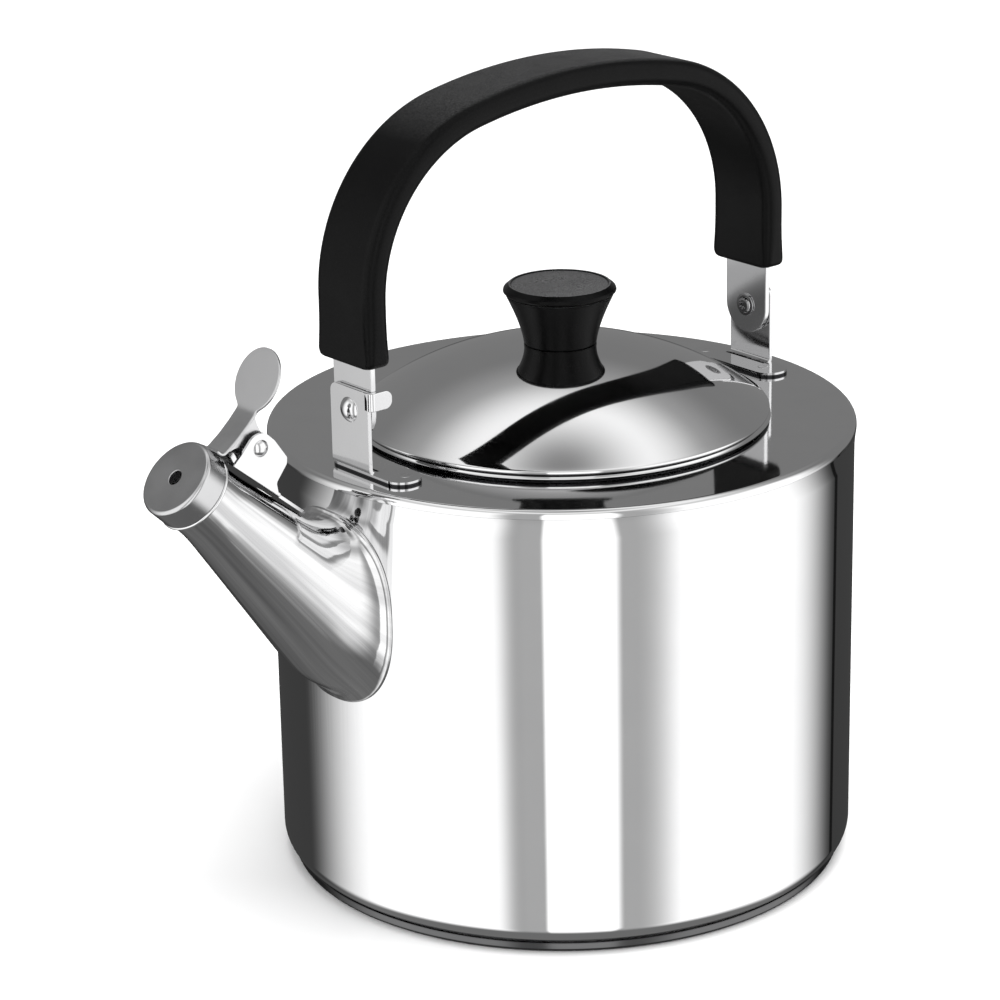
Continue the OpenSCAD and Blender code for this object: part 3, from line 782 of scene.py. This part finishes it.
def make_whistle_bracket():
    ear = rounded([
        (1.5, WEB_V, 0.3), (2.2, WEB_V + 5, 2.5), (PIN_U - 5.0, PIN_V + 1.6, 4.0),
        (PIN_U - 2.2, PIN_V + 5.0, 3.6), (PIN_U + 3.2, PIN_V + 4.6, 3.6),
        (PIN_U + 11, PIN_V + 2.4, 1.2), (PIN_U + 12.2, PIN_V + 0.6, 1.2),
        (PIN_U + 12.4, PIN_V - 6.4, 2.0), (PIN_U + 16.5, WEB_V, 0.3)])
    parts = []
    stand = Matrix.Rotation(math.radians(90), 4, "X")
    for y in (-EAR_HALF + PLATE_T, EAR_HALF):
        leaf = plate(ear, PLATE_T, 0.22)
        leaf.transform(Matrix.Translation((0, y, 0)) @ stand)
        parts.append(leaf)
    web_l = PIN_U + 15
    web = rounded([(1.5, -EAR_HALF + 0.1, 0.3), (web_l + 1.5, -EAR_HALF + 0.1, 0.6),
                   (web_l + 2.5, -4.5, 1.5), (web_l + 14, -4.5, 4.4), (web_l + 18.5, 0, 0),
                   (web_l + 14, 4.5, 4.4), (web_l + 2.5, 4.5, 1.5),
                   (web_l + 1.5, EAR_HALF - 0.1, 0.6), (1.5, EAR_HALF - 0.1, 0.3)])
    round_end = arc(web_l + 14, 0, 4.5, -90, 90, 20)
    web = [p for p in web if p.x < web_l + 9 and p.y < 0] + round_end
    web += [Vector((p.x, -p.y)) for p in reversed(web[:-len(round_end)])]
    sheet = plate(web, PLATE_T, 0.25)
    sheet.transform(Matrix.Translation((0, 0, WEB_V)))
    parts.append(sheet)
    piece(joined(*parts), "whistle_bracket_folded", "kettle", "pressed_steel",
          ["whistle_bracket"], at=ON_SPOUT)

    half = EAR_HALF + GAP
    head = dome_profile(2.8, 1.4)
    outline = [Vector((p.x, half + p.y)) for p in reversed(head)]
    outline += points((PIN_R, half), (PIN_R, -half))
    outline += [Vector((p.x, -half - p.y)) for p in head]
    lie = Matrix.Translation((PIN_X, 0, PIN_Z)) @ Matrix.Rotation(math.radians(90), 4, "X")
    piece(lathe(outline, 64), "whistle_pin_riveted", "kettle", "pressed_steel", ["whistle_pin"],
          at=lie)


def make_spring():
    coil_r = 4.1
    turns = 5
    pitch = 1.25
    half = pitch * turns / 2
    steps = 36
    path = points((-2.5, -half, 5.8), (-3.3, -half, 4.4), (-3.85, -half, 2.9),
                  (-4.06, -half, 1.4))
    count = round(steps * (turns + 50 / 360))
    for i in range(count + 1):
        a = math.pi + TAU * i / steps
        path.append(Vector((coil_r * math.cos(a), pitch * i / steps - half,
                            coil_r * math.sin(a))))
    path += points((-1.75, half + 0.28, -4.6), (-1.2, half + 0.3, -6.0),
                   (-0.3, half + 0.3, -8.0), (0.8, half + 0.3, -10.2))
    piece(tube(path, 0.55, 14), "whistle_spring_wound", "kettle", "spring_steel",
          ["whistle_spring"], at=Matrix.Translation((PIN_X, 0, PIN_Z)))


# ------------------------------------------------------------------ handle brackets and rivets
def make_bracket(name, node, foot_from, foot_to, tab, angle):
    w = STRAP_W / 2
    bend = 1.95
    mid_x = EAR_IN + EAR_T / 2
    mid_z = FOOT_Z + EAR_T / 2
    corner = 3.0
    stations = [(Vector((mid_x - bend - back, 0, mid_z)), -Z_AXIS, Y_AXIS, w)
                for back in (2.5, 1.5)]
    for a in sweep(-90, 0, 8):
        out = upright(a)
        stations.append((Vector((mid_x - bend, 0, mid_z + bend)) + out * bend, out, Y_AXIS, w))
    for z in (165.0, 175.0):
        stations.append((Vector((mid_x, 0, z)), X_AXIS, Y_AXIS, w))
    for a in sweep(0, 90, 8):
        z = EAR_TOP_Z - corner + corner * math.sin(a)
        half = w - corner + corner * math.cos(a)
        stations.append((Vector((mid_x, 0, z)), X_AXIS, Y_AXIS, half))
    ear = ribbon(stations, EAR_T, 0.3)
    foot = plate(rounded([(FOOT_IN, foot_from, 6.0), (EAR_OUT, foot_from, 6.0),
                          (EAR_OUT, foot_to, 6.0), (FOOT_IN, foot_to, 6.0)], 10), EAR_T, 0.25)
    foot.transform(Matrix.Translation((0, 0, FOOT_Z)))
    parts = [ear, foot]
    if tab:
        low_z = PIVOT_Z + 1.4
        middle = (low_z + EAR_TOP_Z) / 2
        half = (EAR_TOP_Z - low_z) / 2
        line_y = w + 0.1 + EAR_T / 2
        turn_r = 1.15
        tip_r = 2.5
        end_x = EAR_OUT - 8.8
        stations = [(Vector((mid_x, w - back, middle)), X_AXIS, Z_AXIS, half)
                    for back in (2.5, 1.5)]
        for a in sweep(0, 90, 8):
            out = Vector((math.cos(a), math.sin(a), 0))
            centre = Vector((mid_x - turn_r, line_y - turn_r, middle))
            stations.append((centre + out * turn_r, out, Z_AXIS, half))
        for a in sweep(0, 90, 8):
            x = end_x + tip_r - tip_r * math.sin(a)
            stations.append((Vector((x, line_y, middle)), Y_AXIS, Z_AXIS,
                             half - tip_r + tip_r * math.cos(a)))
        parts.append(ribbon(stations, EAR_T, 0.3))
    piece(joined(*parts), name, "kettle", "pressed_steel", [node],
          at=Matrix.Rotation(math.radians(angle), 4, "Z"), material=FOOT_STEEL)


def weld_dot(name, x, y):
    """Shallow ring that a spot weld leaves on a bracket's foot."""
    outline = points((0, 0), (1.9, 0), (1.75, 0.07), (1.45, 0.1), (1.1, 0.05), (0.7, 0.02),
                     (0, 0.015))
    piece(lathe(outline, 40), name, "kettle", "pressed_steel", sharp=60.0,
          at=Matrix.Translation((x, y, FOOT_Z + EAR_T - 0.005)))


def make_rivet(name, node, angle):
    tail = STRAP_X - STRAP_T / 2 - WASHER_GAP - WASHER_T - GAP
    head = EAR_OUT + GAP
    outline = [Vector((p.x, head + p.y)) for p in reversed(dome_profile(4.2, 2.2, 12))]
    outline += points((RIVET_R, head), (RIVET_R, tail), (3.0, tail), (2.85, tail - 0.55),
                      (RIVET_R, tail - 0.95), (2.2, tail - 1.0), (0, tail - 1.0))
    shank = lathe(outline, 72)
    arms = []
    for k in range(3):
        arm = plate(rounded([(-1.7, -0.4, 0.35), (1.7, -0.4, 0.35), (1.7, 0.4, 0.35),
                             (-1.7, 0.4, 0.35)], 4), 2.4, 0)
        arm.transform(Matrix.Rotation(math.radians(60 * k), 4, "Z")
                      @ Matrix.Translation((0, 0, tail - 2.8)))
        arms.append(arm)
    star = cut(shank, *arms)
    piece(star, name, "kettle", "pressed_steel", [node], at=turned(0, PIVOT_Z, angle),
          material=RIVET_STEEL)


def make_washers():
    face = STRAP_X - STRAP_T / 2 - WASHER_GAP
    outline = rounded([(2.52, face, 0.1), (2.52, face - WASHER_T, 0.12),
                       (4.0, face - WASHER_T, 0.2), (4.0, face, 0.1)], 4)
    parts = []
    for angle in (0.0, 180.0):
        ring = lathe(outline, 64)
        ring.transform(turned(0, PIVOT_Z, angle))
        parts.append(ring)
    piece(joined(*parts), "rivet_washer_pair", "kettle", "pressed_steel", ["rivet_washers"],
          material=RIVET_STEEL)


# ------------------------------------------------------------------ handle
def stations_of_handle(leg_zs):
    """Middle line of the handle: (point, out) from one leg to the other."""
    corner_x = GRIP_OUT - CORNER_OUT_R
    crown_a = math.asin(corner_x / (CROWN_R - CORNER_OUT_R))
    crown_z = GRIP_TOP_Z - CROWN_R
    corner_z = crown_z + (CROWN_R - CORNER_OUT_R) * math.cos(crown_a)
    first = math.pi / 2 - crown_a
    mid_corner = CORNER_OUT_R - GRIP_T / 2
    mid_crown = CROWN_R - GRIP_T / 2
    half = [(Vector((STRAP_X, 0, z)), X_AXIS) for z in leg_zs]
    for i in range(41):
        out = upright(first * i / 40)
        half.append((Vector((corner_x, 0, corner_z)) + out * mid_corner, out))
    for i in range(1, 13):
        out = upright(first + crown_a * i / 12)
        half.append((Vector((0, 0, crown_z)) + out * mid_crown, out))
    other = [(Vector((-p.x, 0, p.z)), Vector((-n.x, 0, n.z))) for p, n in half[:-1]]
    return half + other[::-1]


def make_handle():
    corner = 3.0
    soft = 1.0
    leg_edge = 2.4
    grown_by = 12.0
    legs = [GRIP_END_Z + d for d in (0, 0.15, 0.35, 0.6, 0.95, 1.4, 2, 3, 6, 10, 15, 20)]
    row = stations_of_handle(legs)

    def rounding(d, radius):
        """How far an edge with a radius has drawn in at a distance from the grip's end."""
        left = max(radius - d, 0.0)
        return radius - math.sqrt(radius**2 - left**2)

    outer = []
    for point, out in row:
        d = point.z - GRIP_END_Z
        half = GRIP_W / 2 - rounding(d, corner)
        thick = GRIP_T - 2 * rounding(d, soft)
        edge = mix(leg_edge, GRIP_EDGE_R, min(d / grown_by, 1.0))
        outer.append(section((point, out, Y_AXIS, half), thick, edge, 0.0, 8))
    inner = [section((p, n, Y_AXIS, STRAP_W / 2 + 0.15), STRAP_T + 0.3, 0.3, 0.0, 8)
             for p, n in reversed(row)]
    piece(loft(outer + inner, closed=True), "grip_moulded", "handle", "grip_plastic",
          ["handle_grip"], sharp=50.0)

    low = PIVOT_Z - STRAP_W / 2
    ends = [PIVOT_Z - STRAP_W / 2 * math.cos(a) for a in sweep(0, 90, 14)[1:]]
    row = stations_of_handle([low + 0.01] + ends + [190.0, 205.0])
    strap = []
    for point, out in row:
        drop = max(PIVOT_Z - point.z, 0.0)
        half = math.sqrt(max((STRAP_W / 2) ** 2 - drop**2, 0.04))
        strap.append((point, out, Y_AXIS, half))
    band = ribbon(strap, STRAP_T, 0.35)
    eye_r = RIVET_R + 0.06
    drills = []
    for angle in (0.0, 180.0):
        drill = lathe(points((0, 0), (eye_r, 0), (eye_r, 8), (0, 8)), 64)
        drill.transform(turned(STRAP_X - 4, PIVOT_Z, angle))
        drills.append(drill)
    piece(cut(band, *drills), "strap_bent", "handle", "pressed_steel", ["handle_strap"],
          material=STRAP_STEEL)


# ------------------------------------------------------------------ lid and knob
def dome_z(r, depth):
    """Height of the lid's sphere at a radius, at a depth under its surface."""
    return LID_TOP - DOME_R + math.sqrt((DOME_R - depth) ** 2 - r * r)


SEAT_Z = dome_z(SEAT_R, 0.0) + GAP
KNOB_TOP = SEAT_Z + KNOB_H


def make_lid():
    steps = 40
    outline = [Vector((SCREW_HOLE_R, dome_z(SEAT_R, 0.0)))]
    for i in range(steps + 1):
        r = mix(SEAT_R, LID_EDGE_X - 0.1, i / steps)
        outline.append(Vector((r, dome_z(r, 0.0))))
    outline += arc(LID_EDGE_X, LID_EDGE_Z, LID_EDGE_R, 60, -170, 18)
    for i in range(steps, -1, -1):
        r = mix(SEAT_R, LID_EDGE_X - 1, i / steps)
        outline.append(Vector((r, dome_z(r, LID_SHEET))))
    outline.append(Vector((SCREW_HOLE_R, dome_z(SEAT_R, LID_SHEET))))
    piece(lathe(outline, 256), "lid_spun", "lid", "polished_steel", ["lid_dome"],
          material=LID_STEEL)

    out_r = HOLE_R - 0.8
    in_r = out_r - COLLAR_T
    z0 = BODY_H - COLLAR_DROP
    z1 = BODY_H + BEAD_R + GAP
    outline = rounded([(in_r, z0, 0.3), (out_r, z0, 0.3), (out_r, z1, 0.4),
                       (BEAD_X + 0.4, z1, 0.25), (BEAD_X + 0.4, z1 + 0.6, 0.25),
                       (in_r, z1 + 0.6, 0.6)], 5)
    piece(lathe(outline, 256), "lid_collar_turned", "lid", "polished_steel", ["lid_collar"],
          material=LID_STEEL)


def make_knob():
    seam = KNOB_TOP - SEAM_DROP
    height = seam - SEAT_Z
    wide = KNOB_R - 0.9
    spigot_r = 6
    spigot_h = 3
    steps = 30
    side = points((INSERT_BORE_R, SEAT_Z), (KNOB_LOW_R - 0.5, SEAT_Z),
                  (KNOB_LOW_R - 0.15, SEAT_Z + 0.1), (KNOB_LOW_R, SEAT_Z + 0.35))
    side += [Vector((mix(KNOB_LOW_R, wide, (i / steps) ** 1.42), SEAT_Z + height * i / steps))
             for i in range(1, steps)]
    side += points((wide - 0.2, seam - 0.1), (wide - 0.5, seam), (spigot_r + 0.1, seam),
                   (spigot_r + 0.1, seam - spigot_h - 0.1),
                   (INSERT_BORE_R, seam - spigot_h - 0.1))
    piece(lathe(side, 144), "knob_stem", "lid", "knob_plastic", ["knob_body"], sharp=40.0)

    z0 = seam + GAP
    cap = [(0, z0 - spigot_h, 0), (spigot_r, z0 - spigot_h, 0.3), (spigot_r, z0, 0),
           (KNOB_R - 1.6, z0, 0.15), (KNOB_R - 0.9, z0 + 0.35, 0.3), (KNOB_R, z0 + 1.1, 0.5),
           (KNOB_R - 0.3, z0 + 2.1, 0.8), (KNOB_R - 2.0, KNOB_TOP - 0.05, 0.25),
           (KNOB_R - 2.6, KNOB_TOP - 0.05, 0.2), (KNOB_R - 3.0, KNOB_TOP - 0.45, 0.3),
           (10, KNOB_TOP - 0.2, 6), (0, KNOB_TOP - 0.1, 0)]
    piece(lathe(rounded(cap, 6), 144), "knob_top", "lid", "knob_plastic", ["knob_cap"],
          sharp=40.0)


# ------------------------------------------------------------------ whistle
LEVER_T = 1.0
LEVER_W = 10.0
PAD_R = 10.6


def lever_path():
    """Upper line of the lever in the middle plane, with eased bends."""
    v = CAP_R + LEVER_T + GAP
    tip = Vector((-131.2, 186.2))
    tilt = math.radians(63)
    far = tip + Vector((math.cos(tilt), math.sin(tilt))) * (10.2 + PAD_R)
    corners = [on_axis(5, v), on_axis(7.6, v), Vector((-138.9, 178.9)), Vector((-134.5, 182.8)),
               tip, far]
    line = []
    for a, b in zip(corners, corners[1:]):
        count = max(int((b - a).length / 0.35), 1)
        line += [mix(a, b, k / count) for k in range(count)]
    line.append(corners[-1])
    for _ in range(10):
        line = ([line[0]] + [(a + b * 2 + c) / 4 for a, b, c in zip(line, line[1:], line[2:])]
                + [line[-1]])
    return line


def make_whistle():
    edge = 1.3
    t = 0.7
    outline = points((CAP_R - t, 0), (CAP_R - 0.15, 0), (CAP_R, 0.15))
    outline += arc(CAP_R - edge, CAP_L - edge, edge, 0, 90, 12)
    outline += points((STEAM_R + 0.35, CAP_L), (STEAM_R + 0.1, CAP_L - 0.1),
                      (STEAM_R, CAP_L - 0.35), (STEAM_R, CAP_L - t))
    outline += arc(CAP_R - edge, CAP_L - edge, edge - t, 90, 0, 8)
    piece(lathe(outline, 160), "whistle_cap_drawn", "whistle", "whistle_steel", ["whistle_cap"],
          at=at_mouth(CAP_L), material=CAP_FACE_STEEL)

    line = lever_path()
    length = [0.0]
    for a, b in zip(line, line[1:]):
        length.append(length[-1] + (b - a).length)
    pad_at = length[-1] - PAD_R
    half_w = LEVER_W / 2

    def width_at(s):
        inside = max(PAD_R**2 - (s - pad_at) ** 2, 0.0) if s > pad_at - PAD_R else 0.0
        disc = math.sqrt(inside)
        if s > pad_at:
            return max(disc, 0.05)
        gap = disc - half_w
        soft = 1.6
        blend = max(soft - abs(gap), 0.0)
        return max(disc, half_w) + blend * blend / (4 * soft)

    samples = [i for i, s in enumerate(length) if s < pad_at]
    stations = []
    for i in samples:
        d = (line[min(i + 1, len(line) - 1)] - line[max(i - 1, 0)]).normalized()
        out = Vector((-d.y, 0, d.x))
        point = Vector((line[i].x, 0, line[i].y)) - out * LEVER_T / 2
        stations.append((point, out, Y_AXIS, width_at(length[i])))
    tip = Vector((line[-1].x, 0, line[-1].y)) - stations[-1][1] * LEVER_T / 2
    out = stations[-1][1]
    along = Vector((out.z, 0, -out.x))
    for a in sweep(0, 90, 18)[1:]:
        point = tip - along * PAD_R * (1 - math.sin(a))
        stations.append((point, out, Y_AXIS, max(PAD_R * math.cos(a), 0.05)))
    strip = ribbon(stations, LEVER_T, 0.42)

    eye = 3.9
    pin = Vector((PIN_X, PIN_Z))
    flange = rounded([
        (-143.4, 175.0, 0.5), (-138.7, 178.2, 2.0), (-134.3, 182.1, 2.0), (-131.3, 185.1, 0.6),
        (pin.x + 0.6, pin.y + eye + 3.4, 1.5), (pin.x + eye * 0.8, pin.y + eye * 0.6, 2.0),
        (pin.x + eye * 0.9, pin.y - eye * 0.5, 2.6), (pin.x + 1, pin.y - eye * 0.96, 2.6),
        (pin.x - 3, pin.y - eye * 0.64, 2.0), (pin.x - 5.5, pin.y + 1.4, 2.0),
        (pin.x - 8.6, pin.y + 1.2, 1.5)], 6)
    stand = Matrix.Rotation(math.radians(90), 4, "X")
    parts = [strip]
    for y in (-half_w + LEVER_T + 0.02, half_w - 0.02):
        leaf = plate(flange, LEVER_T, 0.25)
        leaf.transform(Matrix.Translation((0, y, 0)) @ stand)
        parts.append(leaf)
    piece(joined(*parts), "whistle_lever_pressed", "whistle", "whistle_steel",
          ["whistle_lever"], sharp=45.0)


# ------------------------------------------------------------------ studio
CAMERA_AZIMUTH = -39.525
CAMERA_ELEVATION = 19.44
CAMERA_ROLL = -1.072
CAMERA_DISTANCE = 1.1891
CAMERA_AIM = Vector((-0.01655, 0.01366, 0.12489))
CAMERA_LENS = 124.13


def make_camera():
    a = math.radians(CAMERA_AZIMUTH)
    e = math.radians(CAMERA_ELEVATION)
    roll = math.radians(CAMERA_ROLL)
    back = Vector((math.sin(a) * math.cos(e), -math.cos(a) * math.cos(e), math.sin(e)))
    right = Vector((math.cos(a), math.sin(a), 0))
    up = Vector((-math.sin(a) * math.sin(e), math.cos(a) * math.sin(e), math.cos(e)))
    x_axis = right * math.cos(roll) + up * math.sin(roll)
    y_axis = up * math.cos(roll) - right * math.sin(roll)
    data = bpy.data.cameras.new("camera")
    data.lens = CAMERA_LENS
    data.sensor_width = 36.0
    data.clip_start = 0.01
    data.clip_end = 100.0
    camera = bpy.data.objects.new("camera", data)
    scene.collection.objects.link(camera)
    turn = Matrix((x_axis, y_axis, back)).transposed().to_4x4()
    camera.matrix_world = Matrix.Translation(CAMERA_AIM + back * CAMERA_DISTANCE) @ turn
    scene.camera = camera


# Studio round the kettle: panels by bearing and by height, in degrees. Bearings count from the
# photo's camera side, positive to its right. They run from -180 to 180 in PANELS, and from 0 to
# 360 in BACK_PANELS, which are laid over the others. Each panel is (bearings, softness at each,
# heights, softness at each, level).
ROOM_LEVEL = 0.052
PANELS = [
    ((-150, 150), (20, 20), (-12, 90), (10, 1), 0.10),
    ((-103, -22), (50, 20), (-90, 90), (1, 1), 1.4),
    ((-22, 38), (12, 20), (-90, 90), (1, 1), 0.48),
    ((38, 114), (22, 40), (-90, 90), (1, 1), 1.4),
    ((-9, 20), (2, 4), (-90, 62), (1, 10), 1.5),
    ((132.5, 135.5), (1, 1), (-90, 20), (1, 10), 0.01),
    ((-181, 181), (1, 1), (-91, -42), (1, 20), 0.18),
]
BACK_PANELS = [
    ((110, 250), (30, 30), (-10, 90), (8, 6), 0.22),
    ((-1, 361), (1, 1), (44, 91), (30, 1), 0.5),
    ((-1, 361), (1, 1), (56, 91), (20, 1), 1.15),
    ((-1, 361), (1, 1), (76, 91), (26, 1), 0.3),
]


def make_world():
    world = bpy.data.worlds.new("studio")
    world.use_nodes = True
    scene.world = world
    graph = Graph(world.node_tree)
    direction = graph.add("ShaderNodeTexCoord").outputs["Generated"]
    facing = math.radians(90 - CAMERA_AZIMUTH)
    turned_to = graph.add("ShaderNodeVectorRotate", {"Vector": direction, "Angle": facing},
                          rotation_type="Z_AXIS").outputs[0]
    x, y, z = graph.split(turned_to)
    bearing = graph.math("MULTIPLY", graph.math("ARCTAN2", y, x), 180 / math.pi)
    height = graph.math("MULTIPLY", graph.math("ARCSINE", z), 180 / math.pi)
    from_behind = graph.math("FLOORED_MODULO", bearing, 360.0)

    def window(value, span, soft):
        rise = graph.remap(value, span[0] - soft[0] / 2, span[0] + soft[0] / 2, 0.0, 1.0, True)
        fall = graph.remap(value, span[1] - soft[1] / 2, span[1] + soft[1] / 2, 1.0, 0.0, True)
        return graph.math("MULTIPLY", rise, fall)

    level = None
    for source, panels in ((bearing, PANELS), (from_behind, BACK_PANELS)):
        for spans, soft, heights, soft_heights, value in panels:
            weight = graph.math("MULTIPLY", window(source, spans, soft),
                                window(height, heights, soft_heights))
            node = graph.add("ShaderNodeMix", data_type="FLOAT")
            graph.put(node, 0, weight)
            graph.put(node, 2, ROOM_LEVEL if level is None else level)
            graph.put(node, 3, value)
            level = node.outputs[0]
    light = graph.add("ShaderNodeBackground", {"Color": (1.0, 1.0, 1.0, 1.0), "Strength": level})
    plain = graph.add("ShaderNodeBackground", {"Color": (1.0, 1.0, 1.0, 1.0), "Strength": 1.0})
    seen = graph.add("ShaderNodeLightPath").outputs["Is Camera Ray"]
    both = graph.add("ShaderNodeMixShader", {0: seen, 1: light.outputs[0], 2: plain.outputs[0]})
    out = graph.add("ShaderNodeOutputWorld")
    graph.tree.links.new(both.outputs[0], out.inputs[0])


def make_floor():
    bm = bmesh.new()
    bmesh.ops.create_grid(bm, x_segments=4, y_segments=4, size=15.0)
    mesh = bpy.data.meshes.new("studio_floor")
    bm.to_mesh(mesh)
    bm.free()
    floor = bpy.data.objects.new("studio_floor", mesh)
    scene.collection.objects.link(floor)
    material, graph, place = new_material("studio_floor")
    close_material(graph, {"Base Color": (0.93, 0.93, 0.93, 1.0),
                           "Roughness": graph.remap(graph.noise(place, 8.0), 0.0, 1.0, 0.85, 0.95),
                           "Specular IOR Level": 0.1})
    mesh.materials.append(material)
    floor.visible_glossy = False


def make_light(name, place, aim, size, power):
    data = bpy.data.lights.new(name, "AREA")
    data.shape = "DISK"
    data.size = size
    data.energy = power
    light = bpy.data.objects.new(name, data)
    scene.collection.objects.link(light)
    light.location = place
    light.rotation_euler = (Vector(aim) - Vector(place)).to_track_quat("-Z", "Y").to_euler()
    light.visible_glossy = False


make_pot()
make_spout()
make_whistle_bracket()
make_spring()
make_bracket("bracket_front_folded", "bracket_front", -13.0, 25.0, True, 180.0)
make_bracket("bracket_rear_folded", "bracket_rear", -21.0, 21.0, False, 0.0)
for number, (dot_x, dot_y) in enumerate(((-83, -19), (82.4, 16), (83.6, -12.4))):
    weld_dot("weld_dot_" + str(number + 1), dot_x, dot_y)
make_rivet("rivet_front_formed", "rivet_front", 180.0)
make_rivet("rivet_rear_formed", "rivet_rear", 0.0)
make_washers()
make_handle()
make_lid()
make_knob()
make_whistle()

for node_name, slot_name in (("heat_spreader", "spreader_aluminium"),
                             ("knob_insert", "insert_brass"),
                             ("knob_screw", "pressed_steel"),
                             ("whistle_disc", "whistle_steel")):
    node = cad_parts[node_name]
    for slot_entry in node.material_slots:
        slot_entry.material = MATERIALS[slot_name]

make_camera()
make_world()
make_floor()
make_light("overhead", (0.2, -0.3, 2.4), (0.0, 0.0, 0.0), 2.2, 62.0)
scene.view_settings.view_transform = "Standard"
